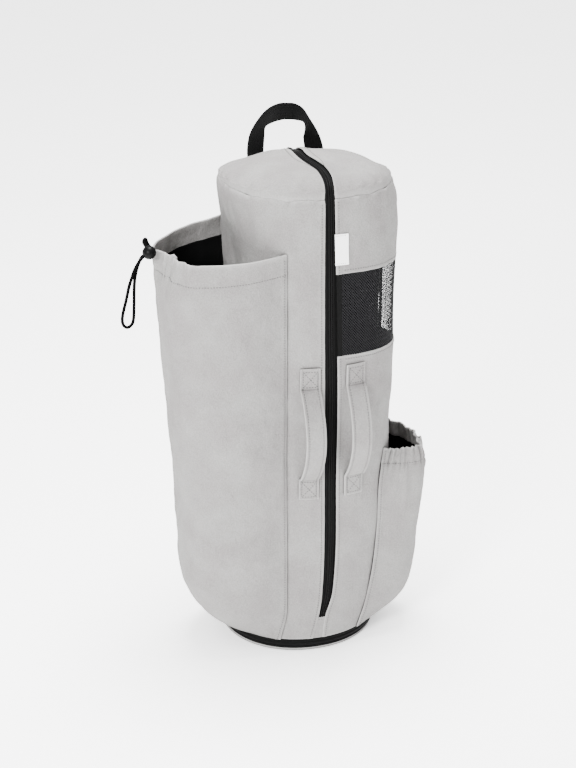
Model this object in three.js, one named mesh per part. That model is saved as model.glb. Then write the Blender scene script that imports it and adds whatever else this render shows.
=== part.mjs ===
// Yoga mat bag standing on its base, in millimetres with +Z up.
// The origin is the middle of the base on the floor. The zipped front faces -Y,
// the block pocket is at -X, the bottle pocket at +X and the webbing loop at +Y.
import * as THREE from "three";

// Cloth, tape and cord
const CLEARANCE = 0.3;
const TAPE_CLEARANCE = 0.9;
const POCKET_CLEARANCE = 0.6;
const STRAP_CLEARANCE = 0.8;
const SEAM_CLEARANCE = 1.5;
const CANVAS = 2;
const HEM_CLOTH = 3;
const MESH_CLOTH = 1.2;
const ZIP_TAPE = 0.9;
const WEBBING = 1.8;
const STRAP_CLOTH = 3;
const LABEL_CLOTH = 0.8;
const CORD_DIAMETER = 4.5;

// Body
const BODY_HEIGHT = 773;
const BODY_HALF_WIDTH = 137;
const BODY_FRONT_DEPTH = 139;
const BODY_BACK_DEPTH = 106;
const BODY_LEAN = 20;
const CAP_RISE = 31;
const CAP_BACK_DROP = 28;
const CAP_RIGHT_DROP = 17;
const CAP_DROP_START = 0.6;
const CAP_DROP_END = 0.7;
const CAP_LEFT_SLUMP = 0.25;
const CAP_RIGHT_SLUMP = 0.55;
const CAP_BACK_SLUMP = 0.22;
const CAP_FRONT_SHOULDER = 6;
const CAP_SIDE_SHOULDER = 3;
const CAP_ZIP_SPREAD = 0.5;
const CAP_CORNER_MARGIN = 0.04;
const CAP_RIM_RISE = 7;
const DENT_DEPTH = 20;

// Base
const BASE_BOARD = 4.7;
const BASE_BAND_TOP = 22.7;
const BASE_ZIP_HALF_TURN = 104;
const BASE_BAND_CLOTH = 2.4;
const BASE_OUTLINE_STEPS = 48;
const BASE_SLIDER_TURN = 8;
const BASE_SLIDER_INSET = 4;

// Zips
const ZIP_WIDTH = 22;
const ZIP_BOTTOM = 62;
const ZIP_OFFSET = 20;
const ZIP_HIDDEN_TAPE = 5;
const ZIP_BACK_MARGIN = 6;
const COIL_WIDTH = 5;
const COIL_THICKNESS = 1.4;
const COIL_INSET = 0.6;
const SLIDER_LENGTH = 16;
const SLIDER_WIDTH = 9;
const SLIDER_THICKNESS = 4;
const SLIDER_SETBACK = 30;

// Mesh window
const MESH_BELOW_CAP = 119;
const MESH_HEIGHT = 136;
const MESH_TOP = BODY_HEIGHT - MESH_BELOW_CAP;
const MESH_DROP = 33;
const MESH_END_TURN = 107;
const MESH_INSET = 0.4;

// Block pocket
const BLOCK_POCKET_TOP = 689;
const BLOCK_POCKET_DEPTH = 112;
const BLOCK_POCKET_SEAM = -48;
const BLOCK_POCKET_BACK_TURN = -128;
const BLOCK_POCKET_HEM = 32;
const BLOCK_POCKET_SAG = 8;
const BLOCK_POCKET_FOOT_CROWDING = 1.6;

// Bottle pocket
const BOTTLE_POCKET_TOP = 334;
const BOTTLE_POCKET_DEPTH = 55;
const BOTTLE_POCKET_SEAM = 116;
const BOTTLE_POCKET_BACK_TURN = 104;
const BOTTLE_POCKET_HEM = 24;
const BOTTLE_POCKET_SAG = 16;
const BOTTLE_POCKET_FOOT_CROWDING = 1.3;

// Gathers of the two hems
const GATHER_DEPTH = 2.6;
const BOTTLE_GATHERS = 8;
const BLOCK_GATHERS = 12;
const BLOCK_GATHER_MIDDLE = 0.58;
const BLOCK_GATHER_REACH = 0.14;

// Carry handles
const HANDLE_WIDTH = 30;
const HANDLE_TOP = 502;
const HANDLE_LENGTH = 224;
const HANDLE_PATCH = 33;
const HANDLE_BOW = 41;
const HANDLE_BOW_SHAPE = 0.8;
const HANDLE_LIFT = 6;
const HANDLE_LEFT_X = -14;
const HANDLE_RIGHT_X = 59;

// Webbing loop
const LOOP_WIDTH = 25;
const LOOP_SPAN = 122;
const LOOP_MIDDLE = 12;
const LOOP_RISE = 101;
const LOOP_PATCH = 30;
const LOOP_BEHIND = 4;
const LOOP_LEAN = 4;
const LOOP_LIFT = 0.3;

// Side label
const LABEL_WIDTH = 20;
const LABEL_HEIGHT = 49;
const LABEL_TOP = 718;
const LABEL_EDGE = -2;

// Cord stop
const LOCK_RADIUS = 10.5;
const LOCK_RECESS_RADIUS = 3.6;
const LOCK_RECESS_DEPTH = 3;
const LOCK_PLACE = new THREE.Vector3(-241, -52, 684);
const LOCK_SEGMENTS = 12;
const LOCK_STEPS = 8;
const CORD_SIDES = 8;

// Sections of the body: up is a share of BODY_HEIGHT, width of BODY_HALF_WIDTH, front and back of
// the two depths, lean of BODY_LEAN, and square is the exponent of the superellipse.
const BODY_SECTIONS = [
  { up: 0, width: 0.92, front: 0.91, back: 1.1, lean: 0, square: 2.1 },
  { up: 0.03, width: 0.935, front: 0.93, back: 1.12, lean: 0.08, square: 2.1 },
  { up: 0.09, width: 0.965, front: 0.96, back: 1.14, lean: 0.5, square: 2.2 },
  { up: 0.19, width: 0.945, front: 0.945, back: 1.12, lean: 0.85, square: 2.3 },
  { up: 0.39, width: 0.92, front: 0.92, back: 1.08, lean: 1, square: 2.4 },
  { up: 0.58, width: 0.95, front: 0.95, back: 1.07, lean: 0.95, square: 2.4 },
  { up: 0.78, width: 0.975, front: 0.975, back: 1.05, lean: 0.85, square: 2.4 },
  { up: 1, width: 1, front: 1, back: 1, lean: 0.75, square: 2.3 },
];

// Dents of the body: turn and wide in degrees, up and tall as shares of BODY_HEIGHT, deep of DENT_DEPTH.
const BODY_DENTS = [
  { turn: -84, wide: 44, up: 0.82, tall: 0.17, deep: 1 },
  { turn: 66, wide: 26, up: 0.46, tall: 0.1, deep: 0.12 },
  { turn: -20, wide: 12, up: 0.9, tall: 0.07, deep: 0.1 },
  { turn: 88, wide: 58, up: 1, tall: 0.05, deep: 0.68 },
];

// Middle of the zip and its visible width: up of BODY_HEIGHT, side of ZIP_OFFSET, wide of ZIP_WIDTH.
const ZIP_LINE = [
  { up: 0.03, side: 0.07, wide: 0.78 },
  { up: 0.08, side: 0.35, wide: 0.58 },
  { up: 0.135, side: 0.8, wide: 0.84 },
  { up: 0.24, side: 1.04, wide: 0.95 },
  { up: 0.39, side: 1.05, wide: 0.94 },
  { up: 0.58, side: 1, wide: 1 },
  { up: 0.79, side: 0.82, wide: 0.9 },
  { up: 1, side: 0.67, wide: 0.74 },
];

// The zip over the cap: back is a share of the way from front to back, side of ZIP_OFFSET, wide
// of ZIP_WIDTH.
const ZIP_CAP_LINE = [
  { back: 0, side: 0.67, wide: 0.74 },
  { back: 0.057, side: 0.735, wide: 0.73 },
  { back: 0.118, side: 0.765, wide: 0.79 },
  { back: 0.2, side: 0.735, wide: 0.82 },
  { back: 0.273, side: 0.6, wide: 0.92 },
  { back: 0.38, side: 0.365, wide: 0.97 },
  { back: 0.518, side: 0.15, wide: 0.83 },
  { back: 0.72, side: 0.22, wide: 0.9 },
  { back: 1, side: 0.3, wide: 0.76 },
];

// Plan of the block pocket from its back seam to its front seam: turn is a share of the way, rim and
// belly are shares of BLOCK_POCKET_DEPTH at the mouth and below it.
const BLOCK_POCKET_PLAN = [
  { turn: 0, rim: 0, belly: 0 },
  { turn: 0.09, rim: 0.14, belly: 0.2 },
  { turn: 0.21, rim: 0.44, belly: 0.55 },
  { turn: 0.33, rim: 0.74, belly: 0.84 },
  { turn: 0.41, rim: 0.94, belly: 0.98 },
  { turn: 0.46, rim: 0.98, belly: 1.02 },
  { turn: 0.52, rim: 0.87, belly: 1.03 },
  { turn: 0.6, rim: 0.85, belly: 1.04 },
  { turn: 0.67, rim: 0.84, belly: 0.98 },
  { turn: 0.75, rim: 0.66, belly: 0.78 },
  { turn: 0.85, rim: 0.38, belly: 0.45 },
  { turn: 0.93, rim: 0.15, belly: 0.18 },
  { turn: 1, rim: 0, belly: 0 },
];

// Side view of the block pocket: up is a share of its height, out of its depth.
const BLOCK_POCKET_PROFILE = [
  { up: 0, out: 0 },
  { up: 0.012, out: 0.15 },
  { up: 0.035, out: 0.31 },
  { up: 0.06, out: 0.46 },
  { up: 0.09, out: 0.59 },
  { up: 0.13, out: 0.71 },
  { up: 0.2, out: 0.79 },
  { up: 0.32, out: 0.85 },
  { up: 0.47, out: 0.9 },
  { up: 0.62, out: 0.93 },
  { up: 0.87, out: 0.965 },
  { up: 1, out: 1 },
];

// Front seam of the block pocket: side is a share of BLOCK_POCKET_SEAM.
const BLOCK_POCKET_SEAM_LINE = [
  { up: 0, side: 1.2 },
  { up: 0.09, side: 1 },
  { up: 0.56, side: 0.98 },
  { up: 1, side: 1.02 },
];

// Plan of the bottle pocket from its front seam to its back seam.
const BOTTLE_POCKET_PLAN = [
  { turn: 0, rim: 0, belly: 0 },
  { turn: 0.08, rim: 0.14, belly: 0.2 },
  { turn: 0.2, rim: 0.46, belly: 0.6 },
  { turn: 0.33, rim: 0.74, belly: 0.92 },
  { turn: 0.46, rim: 0.84, belly: 1 },
  { turn: 0.6, rim: 0.8, belly: 0.96 },
  { turn: 0.74, rim: 0.6, belly: 0.74 },
  { turn: 0.88, rim: 0.26, belly: 0.34 },
  { turn: 1, rim: 0, belly: 0 },
];

// Side view of the bottle pocket.
const BOTTLE_POCKET_PROFILE = [
  { up: 0, out: 0 },
  { up: 0.02, out: 0.2 },
  { up: 0.055, out: 0.4 },
  { up: 0.1, out: 0.58 },
  { up: 0.18, out: 0.7 },
  { up: 0.32, out: 0.8 },
  { up: 0.6, out: 0.93 },
  { up: 0.88, out: 1 },
  { up: 1, out: 1 },
];

// Front seam of the bottle pocket: side is a share of BOTTLE_POCKET_SEAM.
const BOTTLE_POCKET_SEAM_LINE = [
  { up: 0, side: 0.62 },
  { up: 0.2, side: 0.75 },
  { up: 0.36, side: 0.84 },
  { up: 0.58, side: 0.9 },
  { up: 0.8, side: 0.925 },
  { up: 1, side: 1 },
];

// Edges of the webbing loop above its patches: the outer edge becomes the back one at the top.
// Sides are shares of half of LOOP_SPAN and ups of LOOP_RISE.
const LOOP_LINE = [
  { step: 0, outer: -1, outerUp: 0, inner: -0.6, innerUp: 0 },
  { step: 0.13, outer: -1, outerUp: 0.21, inner: -0.61, innerUp: 0.25 },
  { step: 0.26, outer: -0.92, outerUp: 0.51, inner: -0.6, innerUp: 0.53 },
  { step: 0.34, outer: -0.69, outerUp: 0.73, inner: -0.58, innerUp: 0.7 },
  { step: 0.41, outer: -0.42, outerUp: 0.92, inner: -0.38, innerUp: 0.76 },
  { step: 0.46, outer: -0.16, outerUp: 1, inner: -0.14, innerUp: 0.78 },
  { step: 0.5, outer: 0.02, outerUp: 1, inner: 0.02, innerUp: 0.78 },
  { step: 0.56, outer: 0.25, outerUp: 0.98, inner: 0.24, innerUp: 0.76 },
  { step: 0.62, outer: 0.48, outerUp: 0.88, inner: 0.4, innerUp: 0.735 },
  { step: 0.68, outer: 0.66, outerUp: 0.71, inner: 0.46, innerUp: 0.66 },
  { step: 0.77, outer: 0.86, outerUp: 0.5, inner: 0.47, innerUp: 0.5 },
  { step: 0.88, outer: 0.99, outerUp: 0.25, inner: 0.52, innerUp: 0.25 },
  { step: 1, outer: 1, outerUp: 0, inner: 0.57, innerUp: 0 },
];

// Draw cord from the pocket's casing into the stop.
const CORD_LEAD = [
  [-227.1, -13.4, 675.5],
  [-231, -12, 676.5],
  [-235.5, -11, 683],
  [-238, -13, 690.5],
  [-241.5, -19, 692.8],
  [-244.5, -28, 692],
  [-243.9, -36, 690.2],
  [-243, -39.7, 688.8],
  [-242.6, -42, 687.9],
];

// Draw cord from the stop round its loop and back.
const CORD_LOOP = [
  [-250.4, -54.7, 679.2],
  [-252.8, -55.1, 677.6],
  [-258, -52.8, 669.5],
  [-264, -49, 656],
  [-268.5, -48, 643],
  [-272.5, -47, 630],
  [-277.5, -46, 608],
  [-283, -45, 586],
  [-284, -45, 574],
  [-281.5, -45, 567],
  [-276.5, -45, 564],
  [-270.5, -45, 567.5],
  [-267, -45, 576],
  [-265.3, -45, 600],
  [-264.3, -44.5, 624],
  [-262.5, -44.5, 642],
  [-259, -44, 657],
  [-254.8, -45, 669],
  [-251.3, -47.4, 676.6],
  [-249.4, -48.3, 678.2],
];

const COLOURS = {
  canvas: new THREE.MeshStandardMaterial({ color: 0xc2c1c0, roughness: 0.92, metalness: 0 }),
  shade: new THREE.MeshStandardMaterial({ color: 0xb9b8b8, roughness: 0.92, metalness: 0 }),
  black: new THREE.MeshStandardMaterial({ color: 0x151515, roughness: 0.8, metalness: 0 }),
  coil: new THREE.MeshStandardMaterial({ color: 0x1c1c1c, roughness: 0.5, metalness: 0 }),
  white: new THREE.MeshStandardMaterial({ color: 0xf4f4f2, roughness: 0.85, metalness: 0 }),
  stop: new THREE.MeshStandardMaterial({ color: 0x0e0e0e, roughness: 0.35, metalness: 0 }),
};

const bag = new THREE.Group();

const mix = (from, to, share) => from + (to - from) * share;
const clamp = (value, low, high) => Math.min(high, Math.max(low, value));
const radians = THREE.MathUtils.degToRad;
const wave = (turns) => Math.sin(turns * 2 * Math.PI);

// Smooth step from 0 at low to 1 at high.
function ease(low, high, value) {
  const t = clamp((value - low) / (high - low), 0, 1);
  return t * t * (3 - 2 * t);
}

// A bell that is 1 at the middle and 0 at one width away and beyond.
function bell(distance) {
  return Math.abs(distance) < 1 ? Math.cos((distance * Math.PI) / 2) ** 2 : 0;
}

// Slope of a table column at a row, from the rows beside it.
function slopeAt(rows, key, column, index) {
  const before = rows[Math.max(index - 1, 0)];
  const after = rows[Math.min(index + 1, rows.length - 1)];
  return (after[column] - before[column]) / (after[key] - before[key]);
}

// Value of a table column where its key column has the given value, on a smooth curve.
function along(rows, key, column, value) {
  const at = clamp(value, rows[0][key], rows[rows.length - 1][key]);
  const next = rows.findIndex((row) => row[key] > at);
  const index = next < 0 ? rows.length - 2 : next - 1;
  const span = rows[index + 1][key] - rows[index][key];
  const t = (at - rows[index][key]) / span;
  const start = rows[index][column];
  const end = rows[index + 1][column];
  const leave = slopeAt(rows, key, column, index) * span;
  const arrive = slopeAt(rows, key, column, index + 1) * span;
  const bend = 2 * start + leave - 2 * end + arrive;
  return start + leave * t + (3 * end - 3 * start - 2 * leave - arrive) * t ** 2 + bend * t ** 3;
}

// Half axes, centre and squareness of the body at a height.
function sectionAt(z) {
  const up = z / BODY_HEIGHT;
  return {
    width: BODY_HALF_WIDTH * along(BODY_SECTIONS, "up", "width", up),
    front: BODY_FRONT_DEPTH * along(BODY_SECTIONS, "up", "front", up),
    back: BODY_BACK_DEPTH * along(BODY_SECTIONS, "up", "back", up),
    lean: BODY_LEAN * along(BODY_SECTIONS, "up", "lean", up),
    square: along(BODY_SECTIONS, "up", "square", up),
  };
}

// How far the cloth is pushed in at a turn (degrees from the front, + to the right) and height.
function dentAt(turn, z) {
  const depths = BODY_DENTS.map((dent) => {
    const across = bell((turn - dent.turn) / dent.wide);
    return dent.deep * across * bell((z / BODY_HEIGHT - dent.up) / dent.tall);
  });
  return DENT_DEPTH * depths.reduce((sum, depth) => sum + depth, 0);
}

// Point of the body's full outline, without its dents, moved out by a distance.
function outlinePoint(turn, z, out) {
  const section = sectionAt(z);
  const across = Math.sin(radians(turn));
  const forward = Math.cos(radians(turn));
  const power = section.square;
  const share = (Math.abs(across) ** power + Math.abs(forward) ** power) ** (-1 / power);
  const depth = forward > 0 ? section.front : section.back;
  return new THREE.Vector3(
    section.lean + (section.width * share + out) * across,
    -(depth * share + out) * forward,
    z,
  );
}

// Point of the body's outer face, moved out by a distance.
function bodyPoint(turn, z, out = 0) {
  return outlinePoint(turn, z, out - dentAt(turn, z));
}

// Turn at which the front of the body has a given x.
function turnAt(x, z) {
  let low = -80;
  let high = 80;
  for (let step = 0; step < 24; step++) {
    const middle = (low + high) / 2;
    if (bodyPoint(middle, z).x < x) low = middle;
    else high = middle;
  }
  return (low + high) / 2;
}

// Turn at which the back of the body has a given x.
function backTurnAt(x, z) {
  let low = 100;
  let high = 260;
  for (let step = 0; step < 24; step++) {
    const middle = (low + high) / 2;
    if (bodyPoint(middle, z).x > x) low = middle;
    else high = middle;
  }
  return (low + high) / 2;
}

// Height of the seam between body and cap, which drops towards the back and the right.
function seamHeight(x, y) {
  const backward = clamp(y / BODY_BACK_DEPTH, 0, 1) ** 2;
  const toBack = ease(-CAP_DROP_START, CAP_DROP_END, y / BODY_BACK_DEPTH);
  const rightward = clamp(x / BODY_HALF_WIDTH, 0, 1) ** 2 * toBack;
  return BODY_HEIGHT - CAP_BACK_DROP * backward - CAP_RIGHT_DROP * rightward;
}

// Height of the puffed cap over a point of its plan.
function capHeight(x, y) {
  const top = sectionAt(BODY_HEIGHT);
  const turn = THREE.MathUtils.radToDeg(Math.atan2(x - top.lean, -y));
  const dent = dentAt(turn, seamAt(turn));
  const depth = (y < 0 ? top.front : top.back) - dent;
  const across = Math.abs((x - top.lean) / (top.width - dent)) ** top.square;
  const radius = Math.min(1, (across + Math.abs(y / depth) ** top.square) ** (1 / top.square));
  const toFront = ease(0, 1, -y / depth / Math.max(radius, 0.01));
  const shoulder = mix(CAP_SIDE_SHOULDER, CAP_FRONT_SHOULDER, toFront);
  const sideways = (x > top.lean ? CAP_RIGHT_SLUMP : CAP_LEFT_SLUMP) * across * (1 - toFront);
  const slump = 1 - CAP_BACK_SLUMP * clamp(y / top.back, 0, 1) - sideways;
  return seamHeight(x, y) + CAP_RISE * slump * Math.sqrt(1 - radius ** shoulder);
}

const zipMiddle = (z) => ZIP_OFFSET * along(ZIP_LINE, "up", "side", z / BODY_HEIGHT);
const zipWidth = (z) => ZIP_WIDTH * along(ZIP_LINE, "up", "wide", z / BODY_HEIGHT);

// Middle of the zip and its visible width where it crosses the cap.
const backShare = (y) => (y + BODY_FRONT_DEPTH) / (BODY_FRONT_DEPTH + BODY_BACK_DEPTH);
const zipMiddleOnCap = (y) => ZIP_OFFSET * along(ZIP_CAP_LINE, "back", "side", backShare(y));
const zipWidthOnCap = (y) => ZIP_WIDTH * along(ZIP_CAP_LINE, "back", "wide", backShare(y));

// Unit normal of a surface given as a function of two shares. Where both edges run the same way at
// a corner, the surface names a cornerMargin, and the normal is read that far inside.
function normalOf(surface, u, v) {
  const step = 1e-3;
  const margin = u % 1 === 0 && v === 1 ? (surface.cornerMargin ?? 0) : 0;
  const [a, b] = [clamp(u, margin, 1 - margin), clamp(v, margin, 1 - margin)];
  const alongU = surface(Math.min(a + step, 1), b).sub(surface(Math.max(a - step, 0), b));
  const alongV = surface(a, Math.min(b + step, 1)).sub(surface(a, Math.max(b - step, 0)));
  return alongU.cross(alongV).normalize();
}

// The same surface moved out along its normals.
function moved(surface, out) {
  return (u, v) => surface(u, v).addScaledVector(normalOf(surface, u, v), out);
}

// Closed wall between a surface and its copy one thickness further in.
function wallGeometry(surface, columns, rows, thickness) {
  const points = [];
  const depthAt = typeof thickness === "function" ? thickness : () => thickness;
  for (const layer of [0, 1]) {
    for (let row = 0; row <= rows; row++) {
      for (let column = 0; column <= columns; column++) {
        const u = column / columns;
        const v = row / rows;
        const normal = normalOf(surface, u, v);
        const point = surface(u, v).addScaledVector(normal, -layer * depthAt(u, v));
        points.push(point.x, point.y, point.z);
      }
    }
  }
  const layerSize = (columns + 1) * (rows + 1);
  const at = (column, row, layer) => layer * layerSize + row * (columns + 1) + column;
  const faces = [];
  const quad = (a, b, c, d) => faces.push(a, b, c, a, c, d);
  for (let row = 0; row < rows; row++) {
    for (let column = 0; column < columns; column++) {
      const right = column + 1;
      const upper = row + 1;
      quad(at(column, row, 0), at(right, row, 0), at(right, upper, 0), at(column, upper, 0));
      quad(at(column, upper, 1), at(right, upper, 1), at(right, row, 1), at(column, row, 1));
    }
    quad(at(columns, row + 1, 0), at(columns, row, 0), at(columns, row, 1), at(columns, row + 1, 1));
    quad(at(0, row, 0), at(0, row + 1, 0), at(0, row + 1, 1), at(0, row, 1));
  }
  for (let column = 0; column < columns; column++) {
    quad(at(column + 1, 0, 0), at(column, 0, 0), at(column, 0, 1), at(column + 1, 0, 1));
    quad(at(column, rows, 0), at(column + 1, rows, 0), at(column + 1, rows, 1), at(column, rows, 1));
  }
  const geometry = new THREE.BufferGeometry();
  geometry.setAttribute("position", new THREE.Float32BufferAttribute(points, 3));
  geometry.setIndex(faces);
  geometry.computeVertexNormals();
  return geometry;
}

// Named mesh added to the bag.
function add(name, geometry, material) {
  const mesh = new THREE.Mesh(geometry, material);
  mesh.name = name;
  bag.add(mesh);
  return mesh;
}

const leftEdge = (z) => turnAt(zipMiddle(z) - zipWidth(z) / 2, z);
const rightEdge = (z) => turnAt(zipMiddle(z) + zipWidth(z) / 2, z);

// Height of the cap's seam at a turn.
function seamAt(turn) {
  const rim = bodyPoint(turn, BODY_HEIGHT);
  return seamHeight(rim.x, rim.y);
}

// Piece of the body's side between two turns and two heights. Turns may follow the height, and
// heights follow the share of the way round.
function bodySurface(fromTurn, toTurn, lowAt, highAt) {
  return (u, v) => {
    const top = highAt(u);
    const z = mix(lowAt(u), top, v);
    return bodyPoint(mix(fromTurn(z), toTurn(z), u), z);
  };
}

const bodyFoot = () => BASE_BAND_TOP + CLEARANCE;
const meshTop = (u) => MESH_TOP - MESH_DROP * u ** 2;
const meshBottom = (u) => meshTop(u) - MESH_HEIGHT;
const halfTurn = () => 180 - CLEARANCE / 4;

// The body is cut into a left side, a right side with its window, and a right back.
function addBodyPanels() {
  const leftTop = (u) => seamAt(mix(-halfTurn(), leftEdge(BODY_HEIGHT), u)) - SEAM_CLEARANCE;
  const left = bodySurface(() => -halfTurn(), leftEdge, bodyFoot, leftTop);
  add("left_panel", wallGeometry(left, 22, 16, CANVAS), COLOURS.canvas);

  const sideEnd = () => MESH_END_TURN;
  const upperTop = (u) => seamAt(mix(rightEdge(BODY_HEIGHT), MESH_END_TURN, u)) - SEAM_CLEARANCE;
  const upper = bodySurface(rightEdge, sideEnd, (u) => meshTop(u) + CLEARANCE, upperTop);
  add("right_upper_panel", wallGeometry(upper, 12, 5, CANVAS), COLOURS.canvas);

  const window = bodySurface(rightEdge, sideEnd, meshBottom, meshTop);
  add("mesh_window", wallGeometry(moved(window, -MESH_INSET), 12, 5, MESH_CLOTH), COLOURS.black);

  const lower = bodySurface(rightEdge, sideEnd, bodyFoot, (u) => meshBottom(u) - CLEARANCE);
  add("right_lower_panel", wallGeometry(lower, 12, 10, CANVAS), COLOURS.canvas);

  const backStart = () => MESH_END_TURN + CLEARANCE / 2;
  const backTop = (u) => seamAt(mix(backStart(), halfTurn(), u)) - SEAM_CLEARANCE;
  const back = bodySurface(backStart, halfTurn, bodyFoot, backTop);
  add("right_back_panel", wallGeometry(back, 12, 16, CANVAS), COLOURS.canvas);
}

// Half of the cap: its rim runs from the front of the zip round to the back of the zip, and the
// other edges lie along the zip.
function capSurface(side) {
  const top = sectionAt(BODY_HEIGHT);
  const edgeX = (y) => zipMiddleOnCap(y) + (side * zipWidthOnCap(y)) / 2;
  const frontTurn = side > 0 ? rightEdge(BODY_HEIGHT) : leftEdge(BODY_HEIGHT);
  const backTurn = backTurnAt(edgeX(top.back), BODY_HEIGHT) - (side > 0 ? 0 : 360);
  const surface = (u, v) => {
    const way = side > 0 ? u : 1 - u;
    const turn = mix(frontTurn, backTurn, way);
    const rim = bodyPoint(turn, seamAt(turn));
    const innerY = CAP_ZIP_SPREAD * mix(-top.front, top.back, way);
    const inward = 1 - Math.cos((v * Math.PI) / 2);
    const y = mix(rim.y, innerY, inward);
    const x = edgeX(y) + (rim.x - edgeX(rim.y)) * (1 - inward);
    const seam = seamHeight(x, y);
    return new THREE.Vector3(x, y, v === 0 ? seam : Math.max(capHeight(x, y), seam + CAP_RIM_RISE * v));
  };
  surface.cornerMargin = CAP_CORNER_MARGIN;
  return surface;
}

function addCap() {
  add("cap_left", wallGeometry(capSurface(-1), 20, 6, CANVAS), COLOURS.canvas);
  add("cap_right", wallGeometry(capSurface(1), 20, 6, CANVAS), COLOURS.canvas);
}

// Strip along the zip between two offsets from its middle: up the front, then back over the cap.
function zipSurface(from, to, startZ, endY) {
  const frontShare = (BODY_HEIGHT - startZ) / (BODY_HEIGHT - startZ + BODY_FRONT_DEPTH + endY);
  return (u, v) => {
    const offset = (z) => mix(from(z), to(z), u);
    if (v <= frontShare) {
      const z = mix(startZ, BODY_HEIGHT, v / frontShare);
      return bodyPoint(turnAt(zipMiddle(z) + offset(z), z), z);
    }
    const back = (v - frontShare) / (1 - frontShare);
    const start = bodyPoint(turnAt(zipMiddle(BODY_HEIGHT) + offset(BODY_HEIGHT), BODY_HEIGHT), BODY_HEIGHT);
    const y = mix(start.y, endY, back);
    const x = zipMiddleOnCap(y) + offset(BODY_HEIGHT);
    return new THREE.Vector3(x, y, capHeight(x, y));
  };
}

// Two tapes behind the canvas edges, with the coil over their meeting line.
function addMainZip() {
  const start = ZIP_BOTTOM;
  const end = BODY_BACK_DEPTH - ZIP_BACK_MARGIN;
  const outer = (z) => zipWidth(z) / 2 + ZIP_HIDDEN_TAPE;
  const inner = () => CLEARANCE / 2;
  const inset = -(CANVAS + TAPE_CLEARANCE);
  const left = zipSurface((z) => -outer(z), () => -inner(), start, end);
  const right = zipSurface(inner, outer, start, end);
  const coil = zipSurface(() => -COIL_WIDTH / 2, () => COIL_WIDTH / 2, start, end);
  add("zip_tape_left", wallGeometry(moved(left, inset), 1, 36, ZIP_TAPE), COLOURS.black);
  add("zip_tape_right", wallGeometry(moved(right, inset), 1, 36, ZIP_TAPE), COLOURS.black);
  add("zip_coil", wallGeometry(moved(coil, -COIL_INSET), 1, 36, COIL_THICKNESS), COLOURS.coil);
}

// Plain slider parked at the back end of the zip, over the coil.
function addZipSlider() {
  const endY = BODY_BACK_DEPTH - SLIDER_SETBACK;
  const half = SLIDER_WIDTH / 2;
  const seat = (u, v) => {
    const y = mix(endY - SLIDER_LENGTH, endY, v);
    const x = zipMiddleOnCap(y) + mix(-half, half, u);
    return new THREE.Vector3(x, y, capHeight(x, y));
  };
  const lift = SLIDER_THICKNESS + CLEARANCE;
  add("zip_slider", wallGeometry(moved(seat, lift), 2, 3, SLIDER_THICKNESS), COLOURS.coil);
}

// Placket of canvas that closes the gap under the zip's lower end.
function addZipPlacket() {
  const inset = (z) => zipWidth(z) / 2 - CLEARANCE;
  const placket = bodySurface(
    (z) => turnAt(zipMiddle(z) - inset(z), z),
    (z) => turnAt(zipMiddle(z) + inset(z), z),
    bodyFoot,
    () => ZIP_BOTTOM - CLEARANCE,
  );
  add("zip_end_placket", wallGeometry(placket, 2, 4, CANVAS), COLOURS.shade);
}

// Stiff base board, the zip round its front and the plain band that hinges it at the back.
function addBase() {
  const outline = new THREE.Shape();
  for (let step = 0; step < BASE_OUTLINE_STEPS; step++) {
    const point = bodyPoint((step * 360) / BASE_OUTLINE_STEPS, 0);
    if (step === 0) outline.moveTo(point.x, point.y);
    else outline.lineTo(point.x, point.y);
  }
  const board = new THREE.ExtrudeGeometry(outline, { depth: BASE_BOARD, bevelEnabled: false });
  add("base_board", board, COLOURS.canvas);

  const low = () => BASE_BOARD + CLEARANCE;
  const high = () => BASE_BAND_TOP;
  const zip = bodySurface(() => -BASE_ZIP_HALF_TURN, () => BASE_ZIP_HALF_TURN, low, high);
  add("base_zip", wallGeometry(zip, 34, 1, BASE_BAND_CLOTH), COLOURS.black);
  const start = BASE_ZIP_HALF_TURN + CLEARANCE / 2;
  const hinge = bodySurface(() => start, () => 360 - start, low, high);
  add("base_hinge_band", wallGeometry(hinge, 22, 1, BASE_BAND_CLOTH), COLOURS.canvas);

  const seat = bodySurface(
    () => BASE_ZIP_HALF_TURN - BASE_SLIDER_TURN,
    () => BASE_ZIP_HALF_TURN,
    () => low() + BASE_SLIDER_INSET,
    () => high() - BASE_SLIDER_INSET,
  );
  const lift = SLIDER_THICKNESS + CLEARANCE;
  add("base_zip_slider", wallGeometry(moved(seat, lift), 2, 1, SLIDER_THICKNESS), COLOURS.coil);
}

// Outer face of a pocket: u runs round it in the sense of growing turns, v up it.
function pocketSurface(pocket) {
  return (u, v) => {
    const share = pocket.mirrored ? u : 1 - u;
    const up = v ** pocket.crowding;
    const rise = pocket.top - bodyFoot() - pocket.sag * Math.sin(share * Math.PI) * up;
    const z = bodyFoot() + rise * up;
    const seam = turnAt(pocket.seam * along(pocket.seamLine, "up", "side", up), z);
    const turn = mix(seam, pocket.backTurn, share);
    const way = pocket.mirrored ? share : 1 - share;
    const mouth = ease(pocket.top - pocket.hem * 2, pocket.top, z);
    const rim = along(pocket.plan, "turn", "rim", way);
    const belly = along(pocket.plan, "turn", "belly", way);
    const out = pocket.depth * along(pocket.profile, "up", "out", up) * mix(belly, rim, mouth);
    const gather = GATHER_DEPTH * pocket.gather(way) * ease(pocket.top - pocket.hem * 3, pocket.top, z);
    return outlinePoint(turn, z, POCKET_CLEARANCE + CANVAS + Math.max(0, out + gather));
  };
}

// Wall of a pocket, with its folded hem as a thicker top edge.
function pocketGeometry(pocket, columns, rows) {
  const hemStart = (1 - pocket.hem / (pocket.top - bodyFoot())) ** (1 / pocket.crowding);
  const thickness = (u, v) => (v > hemStart ? HEM_CLOTH : CANVAS);
  return wallGeometry(pocketSurface(pocket), columns, rows, thickness);
}

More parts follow.
